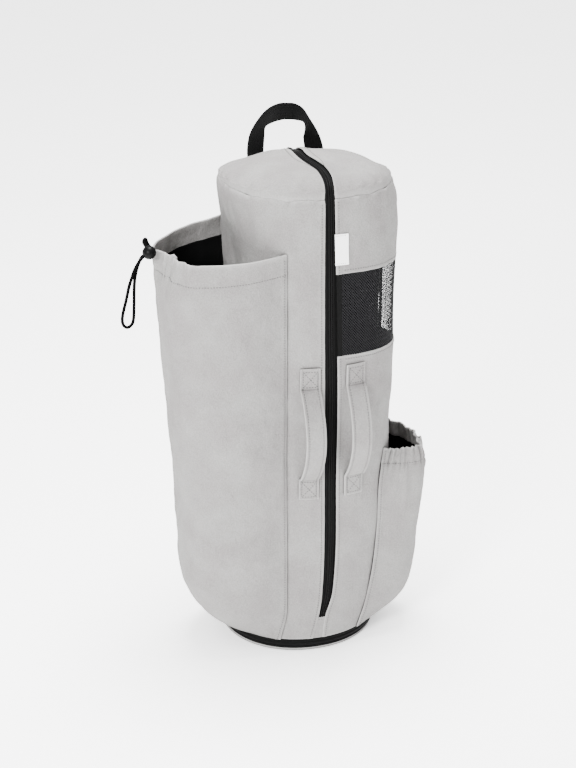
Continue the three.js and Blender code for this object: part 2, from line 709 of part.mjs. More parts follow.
function addBlockPocket() {
  const blockPocket = {
    top: BLOCK_POCKET_TOP,
    depth: BLOCK_POCKET_DEPTH,
    seam: BLOCK_POCKET_SEAM,
    backTurn: BLOCK_POCKET_BACK_TURN,
    hem: BLOCK_POCKET_HEM,
    sag: BLOCK_POCKET_SAG,
    plan: BLOCK_POCKET_PLAN,
    profile: BLOCK_POCKET_PROFILE,
    seamLine: BLOCK_POCKET_SEAM_LINE,
    crowding: BLOCK_POCKET_FOOT_CROWDING,
    mirrored: false,
    gather: (way) => bell((way - BLOCK_GATHER_MIDDLE) / BLOCK_GATHER_REACH) * wave(way * BLOCK_GATHERS),
  };
  add("block_pocket", pocketGeometry(blockPocket, 28, 15), COLOURS.canvas);
}

function addBottlePocket() {
  const bottlePocket = {
    top: BOTTLE_POCKET_TOP,
    depth: BOTTLE_POCKET_DEPTH,
    seam: BOTTLE_POCKET_SEAM,
    backTurn: BOTTLE_POCKET_BACK_TURN,
    hem: BOTTLE_POCKET_HEM,
    sag: BOTTLE_POCKET_SAG,
    plan: BOTTLE_POCKET_PLAN,
    profile: BOTTLE_POCKET_PROFILE,
    seamLine: BOTTLE_POCKET_SEAM_LINE,
    crowding: BOTTLE_POCKET_FOOT_CROWDING,
    mirrored: true,
    gather: (way) => Math.sin(way * Math.PI) * wave(way * BOTTLE_GATHERS),
  };
  add("bottle_pocket", pocketGeometry(bottlePocket, 30, 10), COLOURS.canvas);
}

// Carry handle: flat patches at both ends, and a free stretch that bows out between them.
function addHandle(name, middleX) {
  const patch = HANDLE_PATCH / HANDLE_LENGTH;
  const surface = (u, v) => {
    const z = HANDLE_TOP - HANDLE_LENGTH * (1 - v);
    const x = middleX + mix(-HANDLE_WIDTH, HANDLE_WIDTH, u) / 2;
    const free = clamp((v - patch) / (1 - 2 * patch), 0, 1);
    const out = HANDLE_BOW * Math.sin(free * Math.PI) ** HANDLE_BOW_SHAPE;
    const seat = bodyPoint(turnAt(x, z), z);
    const middle = bodyPoint(turnAt(middleX, z), z);
    const y = mix(seat.y, middle.y, clamp(out / HANDLE_LIFT, 0, 1));
    return new THREE.Vector3(x, y - STRAP_CLEARANCE - STRAP_CLOTH - out, z);
  };
  add(name, wallGeometry(surface, 2, 26, STRAP_CLOTH), COLOURS.canvas);
}

// Webbing loop: patches flat on the back, then a band that turns its width to the back at the top.
function addTopLoop() {
  const seam = seamHeight(0, BODY_BACK_DEPTH);
  const patch = LOOP_PATCH / (2 * LOOP_PATCH + 2 * LOOP_RISE + LOOP_SPAN / 2);
  const level = (step, side, up) => ({
    x: LOOP_MIDDLE + (LOOP_SPAN / 2) * along(LOOP_LINE, "step", side, step),
    z: LOOP_RISE * along(LOOP_LINE, "step", up, step),
  });
  const surface = (u, v) => {
    const step = clamp((v - patch) / (1 - 2 * patch), 0, 1);
    const below = (Math.max(0, patch - v) + Math.max(0, v - 1 + patch)) / patch;
    const outer = level(step, "outer", "outerUp");
    const inner = level(step, "inner", "innerUp");
    const apart = Math.hypot(outer.x - inner.x, outer.z - inner.z);
    const deep = Math.sqrt(Math.max(0, LOOP_WIDTH ** 2 - apart ** 2)) / 2;
    const x = mix(inner.x, outer.x, u);
    const up = mix(inner.z, outer.z, u);
    const z = seam + up - LOOP_PATCH * below;
    const seatZ = Math.min(z, seam);
    const seat = bodyPoint(backTurnAt(x, seatZ), seatZ, STRAP_CLEARANCE + WEBBING);
    const free = BODY_BACK_DEPTH + LOOP_BEHIND + WEBBING - LOOP_LEAN * (up / LOOP_RISE);
    const y = mix(seat.y, free + mix(-deep, deep, u), ease(0, LOOP_LIFT, up / LOOP_RISE));
    return new THREE.Vector3(x, y, z);
  };
  add("top_loop", wallGeometry(surface, 2, 32, WEBBING), COLOURS.black);
}

// Bare label sewn at the zip's right edge.
function addSideLabel() {
  const surface = (u, v) => {
    const z = LABEL_TOP - LABEL_HEIGHT * (1 - v);
    const x = zipMiddle(z) + zipWidth(z) / 2 + LABEL_EDGE + LABEL_WIDTH * u;
    return bodyPoint(turnAt(x, z), z, CLEARANCE + LABEL_CLOTH);
  };
  add("side_label", wallGeometry(surface, 2, 4, LABEL_CLOTH), COLOURS.white);
}

// Round cord stop with a recess in its front.
function addCordStop() {
  const profile = [];
  const rim = Math.acos(LOCK_RECESS_RADIUS / LOCK_RADIUS);
  for (let step = 0; step <= LOCK_STEPS; step++) {
    const angle = mix(-Math.PI / 2, rim, step / LOCK_STEPS);
    profile.push(new THREE.Vector2(LOCK_RADIUS * Math.cos(angle), LOCK_RADIUS * Math.sin(angle)));
  }
  profile[0].x = 0;
  const floor = LOCK_RADIUS * Math.sin(rim) - LOCK_RECESS_DEPTH;
  profile.push(new THREE.Vector2(LOCK_RECESS_RADIUS, floor), new THREE.Vector2(0, floor));
  const stop = add("cord_stop", new THREE.LatheGeometry(profile, LOCK_SEGMENTS), COLOURS.stop);
  stop.rotation.set(Math.PI, 0, 0);
  stop.position.copy(LOCK_PLACE);
}

// Round cord along a list of points.
function addCord(name, points, steps) {
  const route = new THREE.CatmullRomCurve3(points.map((point) => new THREE.Vector3(...point)));
  const section = new THREE.Shape();
  for (let side = 0; side < CORD_SIDES; side++) {
    const angle = (side * 2 * Math.PI) / CORD_SIDES;
    const x = (CORD_DIAMETER / 2) * Math.cos(angle);
    const y = (CORD_DIAMETER / 2) * Math.sin(angle);
    if (side === 0) section.moveTo(x, y);
    else section.lineTo(x, y);
  }
  const tube = new THREE.ExtrudeGeometry(section, { steps, extrudePath: route, bevelEnabled: false });
  add(name, tube, COLOURS.black);
}

addBodyPanels();
addCap();
addMainZip();
addZipSlider();
addZipPlacket();
addBase();
addBlockPocket();
addBottlePocket();
addHandle("handle_left", HANDLE_LEFT_X);
addHandle("handle_right", HANDLE_RIGHT_X);
addTopLoop();
addSideLabel();
addCordStop();
addCord("draw_cord_lead", CORD_LEAD, 7);
addCord("draw_cord_loop", CORD_LOOP, 24);

export default bag;
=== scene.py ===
"""Looks of the yoga mat bag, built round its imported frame, in metres with +Z up.

The zipped front faces -Y, the block pocket is at -X, the bottle pocket at +X and the webbing
loop at +Y. A turn is an angle round the body in degrees, 0 at the front and growing towards +X.
"""
import logging
import math
from dataclasses import dataclass, field
from enum import Enum
from typing import Callable, Sequence

import bmesh
import bpy
import numpy as np
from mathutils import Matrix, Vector


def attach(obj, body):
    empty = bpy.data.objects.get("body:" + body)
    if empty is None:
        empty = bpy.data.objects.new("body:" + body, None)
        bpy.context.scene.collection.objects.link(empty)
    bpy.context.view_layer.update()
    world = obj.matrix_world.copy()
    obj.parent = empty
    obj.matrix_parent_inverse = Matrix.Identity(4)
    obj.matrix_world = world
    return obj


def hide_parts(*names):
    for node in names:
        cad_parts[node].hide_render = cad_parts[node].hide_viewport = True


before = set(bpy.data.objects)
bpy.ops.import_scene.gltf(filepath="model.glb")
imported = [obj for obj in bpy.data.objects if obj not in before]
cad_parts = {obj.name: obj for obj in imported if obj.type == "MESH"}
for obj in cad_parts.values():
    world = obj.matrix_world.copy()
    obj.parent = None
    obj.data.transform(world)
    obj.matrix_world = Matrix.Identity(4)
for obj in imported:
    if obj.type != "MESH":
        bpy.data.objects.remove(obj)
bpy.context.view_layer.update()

LOG = logging.getLogger("mat bag")
MM = 0.001
Array = np.ndarray
Tree = bpy.types.NodeTree
Socket = bpy.types.NodeSocket
Material = bpy.types.Material
Piece = bpy.types.Object


# Numbers and curves


def ease(low: float, high: float, value: Array) -> Array:
    """Smooth step from 0 at low to 1 at high: 3t^2 - 2t^3."""
    t = np.clip((value - low) / (high - low), 0, 1)
    return t * t * (3 - 2 * t)


def bell(distance: Array) -> Array:
    """Squared cosine that is 1 in the middle and 0 from one width away."""
    return np.where(np.abs(distance) < 1, np.cos(distance * np.pi / 2) ** 2, 0.0)


def mix(start: Array, end: Array, share: Array) -> Array:
    """Straight blend from start to end."""
    return start + (end - start) * share


def unit(vectors: Array) -> Array:
    """Vectors divided by their lengths."""
    return vectors / np.maximum(np.linalg.norm(vectors, axis=-1, keepdims=True), 1e-12)


def stacked(x: Array, y: Array, z: Array) -> Array:
    """Three coordinate arrays as one array of points."""
    return np.stack(np.broadcast_arrays(x, y, z), axis=-1)


def shares(columns: int, rows: int) -> tuple[Array, Array]:
    """Shares from 0 to 1 across and up a grid."""
    return np.meshgrid(np.linspace(0, 1, columns), np.linspace(0, 1, rows))


def bisected(low: float, high: float, below: Callable[[Array], Array], like: Array) -> Array:
    """Halve an interval until it closes on a value.

    Args:
        low: Start of the interval.
        high: End of the interval.
        below: Says where the wanted value lies above a guess.
        like: Array whose shape the answer takes.

    Returns:
        The value at every place of the array.
    """
    start, end = np.full(like.shape, float(low)), np.full(like.shape, float(high))
    for _ in range(30):
        middle = (start + end) / 2
        is_below = below(middle)
        start = np.where(is_below, middle, start)
        end = np.where(is_below, end, middle)
    return (start + end) / 2


class Table:
    """Named columns of listed shares, read on a smooth curve over the first column."""

    def __init__(self, names: str, rows: Sequence[Sequence[float]]) -> None:
        """Keep the column names, given in one line, and the rows."""
        self.names = names.split()
        self.values = np.array(rows, float)

    def at(self, name: str, key: Array) -> Array:
        """Read a column on a cubic Hermite curve.

        The slope at a row is the rise between the rows beside it over their distance.

        Args:
            name: Column to read.
            key: Values of the first column.

        Returns:
            The column's values there.
        """
        keys, column = self.values[:, 0], self.values[:, self.names.index(name)]
        before = np.maximum(np.arange(len(keys)) - 1, 0)
        after = np.minimum(np.arange(len(keys)) + 1, len(keys) - 1)
        slope = (column[after] - column[before]) / (keys[after] - keys[before])
        at = np.clip(key, keys[0], keys[-1])
        i = np.clip(np.searchsorted(keys, at, side="right") - 1, 0, len(keys) - 2)
        span = keys[i + 1] - keys[i]
        t = (at - keys[i]) / span
        start, end = column[i], column[i + 1]
        leave, arrive = slope[i] * span, slope[i + 1] * span
        bend = 2 * start + leave - 2 * end + arrive
        return start + leave * t + (3 * end - 3 * start - 2 * leave - arrive) * t**2 + bend * t**3


class Ripple:
    """Loose cloth that never lies quite flat: a sum of sines in seeded directions."""

    def __init__(self, seed: int, period: float, stretch: float = 1.0, count: int = 14) -> None:
        """Draw the waves.

        Args:
            seed: Seed of the draw.
            period: Usual wave length in metres.
            stretch: How many times longer the waves are along the second coordinate.
            count: Number of sines.
        """
        draw = np.random.default_rng(seed)
        angle = draw.uniform(0, 2 * np.pi, count)
        rate = 2 * np.pi / (period * draw.uniform(0.7, 1.6, count))
        self.along = np.stack([np.cos(angle) * rate, np.sin(angle) * rate / stretch])
        self.phase = draw.uniform(0, 2 * np.pi, count)

    def at(self, a: Array, b: Array) -> Array:
        """Height from about -1 to 1 at surface coordinates in metres."""
        turns = a[..., None] * self.along[0] + b[..., None] * self.along[1] + self.phase
        return np.sin(turns).sum(axis=-1) / math.sqrt(2 * len(self.phase))


class Creases:
    """Soft folds: each a ridge or a valley along a line, fading at both ends."""

    def __init__(self, rows: Sequence[Sequence[float]]) -> None:
        """Rows hold a0, b0, a1, b1, width and height, all in millimetres."""
        self.rows = np.array(rows, float) * MM

    def at(self, a: Array, b: Array) -> Array:
        """Height of the folds: height times exp(-(across/width)^2) times a bell along the line.

        Args:
            a: First surface coordinate in metres.
            b: Second surface coordinate in metres.

        Returns:
            The height in metres.
        """
        start, run = self.rows[:, 0:2], self.rows[:, 2:4] - self.rows[:, 0:2]
        length = np.linalg.norm(run, axis=1)
        da, db = a[..., None] - start[:, 0], b[..., None] - start[:, 1]
        along = (da * run[:, 0] + db * run[:, 1]) / length**2
        across = (da * run[:, 1] - db * run[:, 0]) / length
        ridge = np.exp(-((across / self.rows[:, 4]) ** 2))
        return (self.rows[:, 5] * ridge * bell(2 * along - 1)).sum(axis=-1)


# Meshes


@dataclass
class Shape:
    """Vertices, quads, weave coordinates in metres and the finish number of every face."""

    points: Array
    quads: Array
    weave: Array
    finish: Array

    @staticmethod
    def joined(shapes: Sequence["Shape"]) -> "Shape":
        """One shape that holds all of the given ones.

        Args:
            shapes: Shapes to join, in order.

        Returns:
            The joined shape.
        """
        starts = np.cumsum([0] + [len(shape.points) for shape in shapes[:-1]])
        return Shape(
            np.concatenate([shape.points for shape in shapes]),
            np.concatenate([shape.quads + start for shape, start in zip(shapes, starts)]),
            np.concatenate([shape.weave for shape in shapes]),
            np.concatenate([shape.finish for shape in shapes]),
        )

    def dressed(self, number: int) -> "Shape":
        """The same shape with every face in one finish."""
        return Shape(self.points, self.quads, self.weave, np.full(len(self.quads), number))


def normals_of(points: Array) -> Array:
    """Unit normals of a grid: the cross product of its steps along columns and along rows."""
    return unit(np.cross(np.gradient(points, axis=1), np.gradient(points, axis=0)))


def lengths_of(points: Array) -> Array:
    """Distances along both ways of a grid, centred on its middle, as weave coordinates.

    Args:
        points: Grid of points.

    Returns:
        The distances along the rows and along the columns.
    """
    across = np.linalg.norm(np.diff(points, axis=1), axis=-1).cumsum(axis=1)
    across = np.pad(across, ((0, 0), (1, 0)))
    up = np.pad(np.linalg.norm(np.diff(points, axis=0), axis=-1).cumsum(axis=0), ((1, 0), (0, 0)))
    return np.stack([across - across[:, -1:] / 2, up], axis=-1)


def grid_quads(rows: int, columns: int) -> Array:
    """Quads of a grid of points, facing along columns cross rows."""
    at = np.arange(rows * columns).reshape(rows, columns)
    return np.stack([at[:-1, :-1], at[:-1, 1:], at[1:, 1:], at[1:, :-1]], axis=-1).reshape(-1, 4)


def wall(points: Array, thickness: float | Array, roll: float = 0.45, inner_shade: int = 0) -> Shape:
    """Close a grid into cloth of some thickness with rolled edges.

    The inner layer lies one thickness behind the grid along its normals. A line of points
    half-way between the layers, pushed outwards by roll times the thickness, rounds the edge.

    Args:
        points: Grid of points of the outer face.
        thickness: Thickness, one number or one for each point.
        roll: How far the edge bulges, as a share of the thickness.
        inner_shade: Finish number of the inner faces.

    Returns:
        The closed shape.
    """
    rows, columns = points.shape[:2]
    thick = np.broadcast_to(np.asarray(thickness, float), (rows, columns))[..., None]
    inner = points - normals_of(points) * thick
    away = np.zeros_like(points)
    away[0] += unit(points[0] - points[1])
    away[-1] += unit(points[-1] - points[-2])
    away[:, 0] += unit(points[:, 0] - points[:, 1])
    away[:, -1] += unit(points[:, -1] - points[:, -2])
    edge = (points + inner) / 2 + unit(away) * thick * roll
    at = np.arange(rows * columns).reshape(rows, columns)
    loop = np.concatenate([at[0, :], at[1:, -1], at[-1, -2::-1], at[-2:0:-1, 0]])
    size, ring = rows * columns, len(loop)
    middle = 2 * size + np.arange(ring)
    ahead, middle_ahead = np.roll(loop, -1), np.roll(middle, -1)
    face = grid_quads(rows, columns)
    quads = np.concatenate(
        [
            face,
            face[:, ::-1] + size,
            np.stack([ahead, loop, middle, middle_ahead], axis=-1),
            np.stack([middle_ahead, middle, loop + size, ahead + size], axis=-1),
        ]
    )
    weave = lengths_of(points).reshape(-1, 2)
    finish = np.zeros(len(quads), int)
    # Inner faces take the given finish; the bag's walls give them the near-black painted shade of the closed
    # inside.
    finish[len(face) : 2 * len(face)] = inner_shade
    return Shape(
        np.concatenate([points.reshape(-1, 3), inner.reshape(-1, 3), edge.reshape(-1, 3)[loop]]),
        quads,
        np.concatenate([weave, weave, weave[loop]]),
        finish,
    )


def skin(points: Array) -> Shape:
    """A grid as an open or self-closing surface, whose doubles are merged later."""
    quads = grid_quads(*points.shape[:2])
    return Shape(points.reshape(-1, 3), quads, lengths_of(points).reshape(-1, 2), np.zeros(len(quads), int))


def tube(paths: Array, facing: Array, radius: float | Array, sides: int, flat: float = 1.0) -> Shape:
    """Carry a round or oval section along many paths at once.

    A point of the section lies at centre + radius (cos a * side + flat * sin a * normal), with
    the side at right angles to the path and the normal. The end rings shrink to a point.

    Args:
        paths: Points of the paths, as paths by steps by 3.
        facing: Direction that the section's flat side looks in, of the same shape.
        radius: Half width, one number or one for each step.
        sides: Corners of the section.
        flat: Height of the section as a share of its width.

    Returns:
        The shape of all tubes.
    """
    ahead = unit(np.gradient(paths, axis=1))
    side = unit(np.cross(ahead, facing))
    normal = np.cross(side, ahead)
    angle = np.arange(sides + 1) * 2 * np.pi / sides
    wide = np.broadcast_to(np.asarray(radius, float), paths.shape[:2])[..., None, None]
    ring = np.cos(angle)[:, None] * side[:, :, None] + flat * np.sin(angle)[:, None] * normal[:, :, None]
    rings = paths[:, :, None] + wide * ring
    first, last = (paths[:, k, None, None] + 0 * ring[:, k, None] for k in (0, -1))
    shapes = np.concatenate([first, rings, last], axis=1)
    count, steps = shapes.shape[:2]
    quads = grid_quads(steps, sides + 1)[:, ::-1]
    starts = np.arange(count)[:, None, None] * steps * (sides + 1)
    gaps = np.linalg.norm(np.diff(paths, axis=1), axis=-1)
    run = np.pad(gaps.cumsum(axis=1), ((0, 0), (2, 1)), mode="edge")
    run[:, :2] = 0
    weave = np.stack(np.broadcast_arrays(angle[None, None] * np.max(wide), run[:, :, None]), axis=-1)
    all_quads = (quads[None] + starts).reshape(-1, 4)
    return Shape(shapes.reshape(-1, 3), all_quads, weave.reshape(-1, 2), np.zeros(len(all_quads), int))


def spaced(line: Array, count: int) -> Array:
    """Points at equal distances along a line of points.

    Args:
        line: Points of the line.
        count: Number of points wanted.

    Returns:
        The evenly spaced points.
    """
    run = np.concatenate([[0], np.linalg.norm(np.diff(line, axis=0), axis=1).cumsum()])
    at = np.linspace(0, run[-1], count)
    return np.stack([np.interp(at, run, line[:, k]) for k in range(line.shape[1])], axis=-1)


def smooth_path(points: Sequence[Sequence[float]], count: int) -> Array:
    """Equally spaced points on a Catmull-Rom curve through a list of points in metres.

    Args:
        points: Points to pass through.
        count: Number of points wanted.

    Returns:
        The path.
    """
    given = np.array(points, float)
    rows = Table("step x y z", [(i, *p) for i, p in enumerate(given)])
    steps = np.linspace(0, len(given) - 1, 20 * len(given))
    return spaced(stacked(rows.at("x", steps), rows.at("y", steps), rows.at("z", steps)), count)


@dataclass(frozen=True)
class Stitch:
    """Lock stitch: its length, the gap to the next one and the thread's radius.

    A thread is about 0.3 mm thick. It is drawn thicker so that it shows.
    """

    length: float = 3.0 * MM
    gap: float = 1.3 * MM
    radius: float = 0.55 * MM

    def along(self, line: Array, facing: Array) -> Shape:
        """Lay stitches along a line on a surface.

        Each is a low bow of four-sided rings that dips into the cloth at both ends.

        Args:
            line: Points of the line.
            facing: Normals of the surface at those points.

        Returns:
            The shape of all stitches.
        """
        run = np.concatenate([[0], np.linalg.norm(np.diff(line, axis=0), axis=1).cumsum()])
        starts = np.arange(0, max(run[-1] - self.length, 0) + 1e-9, self.length + self.gap)
        at = starts[:, None] + np.linspace(0, self.length, 4)
        path = np.stack([np.interp(at, run, line[:, k]) for k in range(3)], axis=-1)
        up = unit(np.stack([np.interp(at, run, facing[:, k]) for k in range(3)], axis=-1))
        lift = self.radius * np.array([-0.7, 0.45, 0.45, -0.7])
        thick = self.radius * np.array([0.6, 1.0, 1.0, 0.6])
        return tube(path + up * lift[:, None], up, thick, 4)


def on_grid(points: Array, u: Array, v: Array) -> tuple[Array, Array]:
    """Read a grid between its points.

    Args:
        points: Grid of points.
        u: Shares of the way along the columns.
        v: Shares of the way along the rows.

    Returns:
        Points there and the surface's normals, blended from the four grid points around.
    """
    rows, columns = points.shape[:2]
    both = np.concatenate([points, normals_of(points)], axis=-1)
    column, row = np.clip(u, 0, 1) * (columns - 1), np.clip(v, 0, 1) * (rows - 1)
    j, i = np.minimum(column.astype(int), columns - 2), np.minimum(row.astype(int), rows - 2)
    right, up = (column - j)[..., None], (row - i)[..., None]
    low = mix(both[i, j], both[i, j + 1], right)
    high = mix(both[i + 1, j], both[i + 1, j + 1], right)
    read = mix(low, high, up)
    return read[..., :3], unit(read[..., 3:])


def stitched(points: Array, route: Sequence[Sequence[float]], stitch: Stitch = Stitch()) -> Shape:
    """Stitches on a grid along straight runs between corners given as (u, v) shares.

    Args:
        points: Grid of points.
        route: Corners of the runs.
        stitch: Kind of stitch.

    Returns:
        The shape of all stitches.
    """
    corners = np.array(route, float)
    line = np.concatenate([np.linspace(a, b, 80) for a, b in zip(corners[:-1], corners[1:])])
    path, facing = on_grid(points, line[:, 0], line[:, 1])
    keep = np.concatenate([[True], np.linalg.norm(np.diff(path, axis=0), axis=1) > 1e-6])
    return stitch.along(path[keep], facing[keep])


def crossed_box(points: Array, inset: float, low: float, high: float) -> list[Shape]:
    """Stitches round a box between two heights of a grid, with both of its diagonals.

    Args:
        points: Grid of points.
        inset: Share of the width left free at each side.
        low: Share of the height where the box starts.
        high: Share of the height where it ends.

    Returns:
        The rows of stitches.
    """
    left, right = inset, 1 - inset
    edges = [(left, low), (right, low), (right, high), (left, high), (left, low), (right, high)]
    return [stitched(points, edges), stitched(points, [(left, high), (right, low)])]


# Finishes


def linear(colour: str) -> tuple[float, float, float, float]:
    """An sRGB hex colour as linear red, green, blue and alpha."""
    shares = [int(colour[i : i + 2], 16) / 255 for i in (1, 3, 5)]
    return tuple(c / 12.92 if c <= 0.04045 else ((c + 0.055) / 1.055) ** 2.4 for c in shares) + (1.0,)


def add_node(tree: Tree, kind: str, inputs: dict | None = None, **settings: object) -> bpy.types.Node:
    """Add a node with its settings, and give or link its inputs.

    Args:
        tree: Tree that gets the node.
        kind: Type name of the node.
        inputs: Input names or numbers with a value or an output socket.
        settings: Properties of the node.

    Returns:
        The new node.
    """
    made = tree.nodes.new(kind)
    for name, value in settings.items():
        setattr(made, name, value)
    for name, value in (inputs or {}).items():
        if isinstance(value, Socket):
            tree.links.new(value, made.inputs[name])
        else:
            made.inputs[name].default_value = value
    return made


def new_material(name: str, **shader: object) -> tuple[Material, Tree, bpy.types.Node]:
    """A material with one Principled shader whose sockets are set by name, underscores for spaces.

    Args:
        name: Name of the material.
        shader: Values of the shader's sockets.

    Returns:
        The material, its tree and its shader.
    """
    material = bpy.data.materials.new(name)
    material.use_nodes = True
    tree = material.node_tree
    surface = tree.nodes["Principled BSDF"]
    for socket, value in shader.items():
        surface.inputs[socket.replace("_", " ")].default_value = value
    return material, tree, surface


def thread_waves(tree: Tree, across: float, along: float, turned: float = 0) -> Socket:
    """Height of a plain weave: one sine across times one along, on weave coordinates turned in degrees.

    Args:
        tree: Tree that gets the nodes.
        across: Width of a thread across the weave in metres.
        along: Width of a thread along the weave in metres.
        turned: Angle of the weave in degrees.

    Returns:
        The socket of the height.
    """
    weave = add_node(tree, "ShaderNodeTexCoord").outputs["UV"]
    if turned:
        angle = {0: weave, "Angle": math.radians(turned)}
        weave = add_node(tree, "ShaderNodeVectorRotate", angle, rotation_type="Z_AXIS").outputs[0]
    split = add_node(tree, "ShaderNodeSeparateXYZ", {0: weave})
    sines = []
    for output, pitch in (("X", across), ("Y", along)):
        rate = {0: split.outputs[output], 1: math.pi / pitch}
        turns = add_node(tree, "ShaderNodeMath", rate, operation="MULTIPLY").outputs[0]
        sines.append(add_node(tree, "ShaderNodeMath", {0: turns}, operation="SINE").outputs[0])
    return add_node(tree, "ShaderNodeMath", {0: sines[0], 1: sines[1]}, operation="MULTIPLY").outputs[0]


def noise(tree: Tree, size: float, detail: float = 2.0) -> Socket:
    """Noise on object coordinates whose blots are about one size across, in metres.

    Args:
        tree: Tree that gets the nodes.
        size: Size of a blot in metres.
        detail: Number of finer layers.

    Returns:
        The socket of the noise.
    """
    place = add_node(tree, "ShaderNodeTexCoord").outputs["Object"]
    made = add_node(tree, "ShaderNodeTexNoise", {"Vector": place, "Scale": 1 / size, "Detail": detail})
    return made.outputs["Fac"]


def ranged(
    tree: Tree, value: object, start: float, end: float, low: float = 0, high: float = 1
) -> Socket:
    """Value moved from between start and end to between low and high, and held there."""
    return add_node(tree, "ShaderNodeMapRange", {0: value, 1: start, 2: end, 3: low, 4: high}).outputs[0]


def spread(tree: Tree, fac: Socket) -> Socket:
    """Noise stretched from its usual 0.35 to 0.65 to the full range."""
    return ranged(tree, fac, 0.35, 0.65)


def blend(tree: Tree, share: object, first: object, second: object) -> Socket:
    """Colour mixed from the first to the second by a share."""
    return add_node(tree, "ShaderNodeMix", {0: share, 6: first, 7: second}, data_type="RGBA").outputs[2]


def bump(tree: Tree, height: object, depth: float, below: object = None) -> Socket:
    """Normal roughened by a height of some depth in metres, over another normal if given.

    Args:
        tree: Tree that gets the nodes.
        height: Socket of the height.
        depth: Depth in metres of a height of 1.
        below: Normal that it is laid over.

    Returns:
        The socket of the normal.
    """
    inputs = {"Height": height, "Distance": depth, "Strength": 1.0}
    if below is not None:
        inputs["Normal"] = below
    return add_node(tree, "ShaderNodeBump", inputs).outputs[0]


@dataclass(frozen=True)
class CottonCanvas:
    """Cotton canvas in a plain weave: matt, softly fuzzy, with slubs in its threads.

    Its threads are about 0.5 mm apart, too fine to show, and are drawn 1.1 mm apart.
    """

    name: str = "cotton canvas"
    colour: str = "#8b8a88"
    shade: str = "#827f7e"
    # Dark colour of the thread slubs, also used as painted shade in grooves and close corners.
    slub_and_crease_shade: str = "#343332"
    # Painted highlight colour, laid on convex folded edges.
    edge: str = "#bab9b7"
    thread: float = 1.1 * MM

    def material(self) -> Material:
        """Weave as bump, slubs and clouds in the colour, painted shade in grooves and close corners, and
        painted highlights on convex edges.

        Returns:
            The material.
        """
        made, tree, shader = new_material(self.name, Roughness=0.92, Specular_IOR_Level=0.2)
        threads = thread_waves(tree, self.thread, self.thread)
        clouds = spread(tree, noise(tree, 48 * MM, 4))
        slubs = spread(tree, noise(tree, 1.9 * MM, 3))
        slack = noise(tree, 16 * MM, 3)
        colour = blend(tree, clouds, linear(self.shade), linear(self.colour))
        dark = blend(tree, 0.24, colour, linear(self.slub_and_crease_shade))
        colour = blend(tree, slubs, dark, colour)
        # Pointiness paints a highlight on convex edges and shade in concave grooves.
        sharpness = add_node(tree, "ShaderNodeNewGeometry").outputs["Pointiness"]
        painted_edge_highlight = ranged(tree, sharpness, 0.525, 0.6, high=0.4)
        colour = blend(tree, painted_edge_highlight, colour, linear(self.edge))
        # Painted shade in concave grooves.
        painted_groove_shade = ranged(tree, sharpness, 0.485, 0.43, high=0.7)
        colour = blend(tree, painted_groove_shade, colour, linear(self.slub_and_crease_shade))
        # Ambient occlusion paints shade where cloth lies close to other cloth.
        near = add_node(tree, "ShaderNodeAmbientOcclusion", {"Distance": 7 * MM}, samples=8)
        painted_occlusion_shade = ranged(tree, near.outputs["AO"], 0.25, 0.88, 0.85, 0)
        colour = blend(tree, painted_occlusion_shade, colour, linear(self.slub_and_crease_shade))
        tree.links.new(colour, shader.inputs["Base Color"])
        soft = bump(tree, slubs, 0.3 * MM, bump(tree, slack, 2.6 * MM))
        tree.links.new(bump(tree, threads, 0.16 * MM, soft), shader.inputs["Normal"])
        return made


@dataclass(frozen=True)
class WovenBlack:
    """Black polyester yarn, woven as webbing or tape, and as the near-black finish that paints shade on
    inner faces: dull, with ribs along the weave.
    """

    name: str
    colour: str = "#060606"
    rib: float = 1.6 * MM
    pick: float = 1.2 * MM
    depth: float = 0.25 * MM
    roughness: float = 0.72

    def material(self) -> Material:
        """Weave as bump, with faint blots of lighter colour.

        Returns:
            The material.
        """
        made, tree, shader = new_material(self.name, Roughness=self.roughness, Specular_IOR_Level=0.045)
        threads = thread_waves(tree, self.rib, self.pick)
        colour = blend(tree, noise(tree, 2.2 * MM, 2), linear(self.colour), linear("#0b0b0b"))
        tree.links.new(colour, shader.inputs["Base Color"])
        tree.links.new(bump(tree, threads, self.depth), shader.inputs["Normal"])
        return made


@dataclass(frozen=True)
class SewingThread:
    """Polyester thread, slightly shiny."""

    name: str
    colour: str

    def material(self) -> Material:
        """Two plies twisted round each other, as fine noise.

        Returns:
            The material.
        """
        made, tree, shader = new_material(self.name, Roughness=0.55, IOR=1.5)
        ply = noise(tree, 0.6 * MM, 1)
        colour = blend(tree, ply, linear(self.colour), linear("#000000"))
        faint = blend(tree, 0.2, linear(self.colour), colour)
        tree.links.new(faint, shader.inputs["Base Color"])
        tree.links.new(bump(tree, ply, 0.1 * MM), shader.inputs["Normal"])
        return made


@dataclass(frozen=True)
class LabelSatin:
    """White satin ribbon: smooth, with a faint sheen along its threads."""

    name: str = "white satin"

    def material(self) -> Material:
        """Fine weave 0.6 mm apart, with faint clouds.

        Returns:
            The material.
        """
        made, tree, shader = new_material(self.name, Roughness=0.6, IOR=1.5, Sheen_Weight=0.2)
        colour = blend(tree, noise(tree, 9 * MM, 2), linear("#f7f7f5"), linear("#ffffff"))
        tree.links.new(colour, shader.inputs["Base Color"])
        threads = thread_waves(tree, 0.6 * MM, 1.2 * MM)
        tree.links.new(bump(tree, threads, 0.08 * MM), shader.inputs["Normal"])
        return made


@dataclass(frozen=True)
class MouldedNylon:
    """Black nylon, injection moulded: glossy where handled, with a faint orange-peel skin."""

    name: str = "moulded nylon"
    colour: str = "#060606"
    roughness: float = 0.34

    def material(self) -> Material:
        """Slight waviness in the skin and in the gloss.

        Returns:
            The material.
        """
        made, tree, shader = new_material(self.name, Base_Color=linear(self.colour), Specular_IOR_Level=0.06)
        skin_noise = noise(tree, 2.5 * MM, 3)
        rough = ranged(tree, skin_noise, 0, 1, self.roughness - 0.06, self.roughness + 0.12)
        tree.links.new(rough, shader.inputs["Roughness"])
        tree.links.new(bump(tree, skin_noise, 0.04 * MM), shader.inputs["Normal"])
        return made


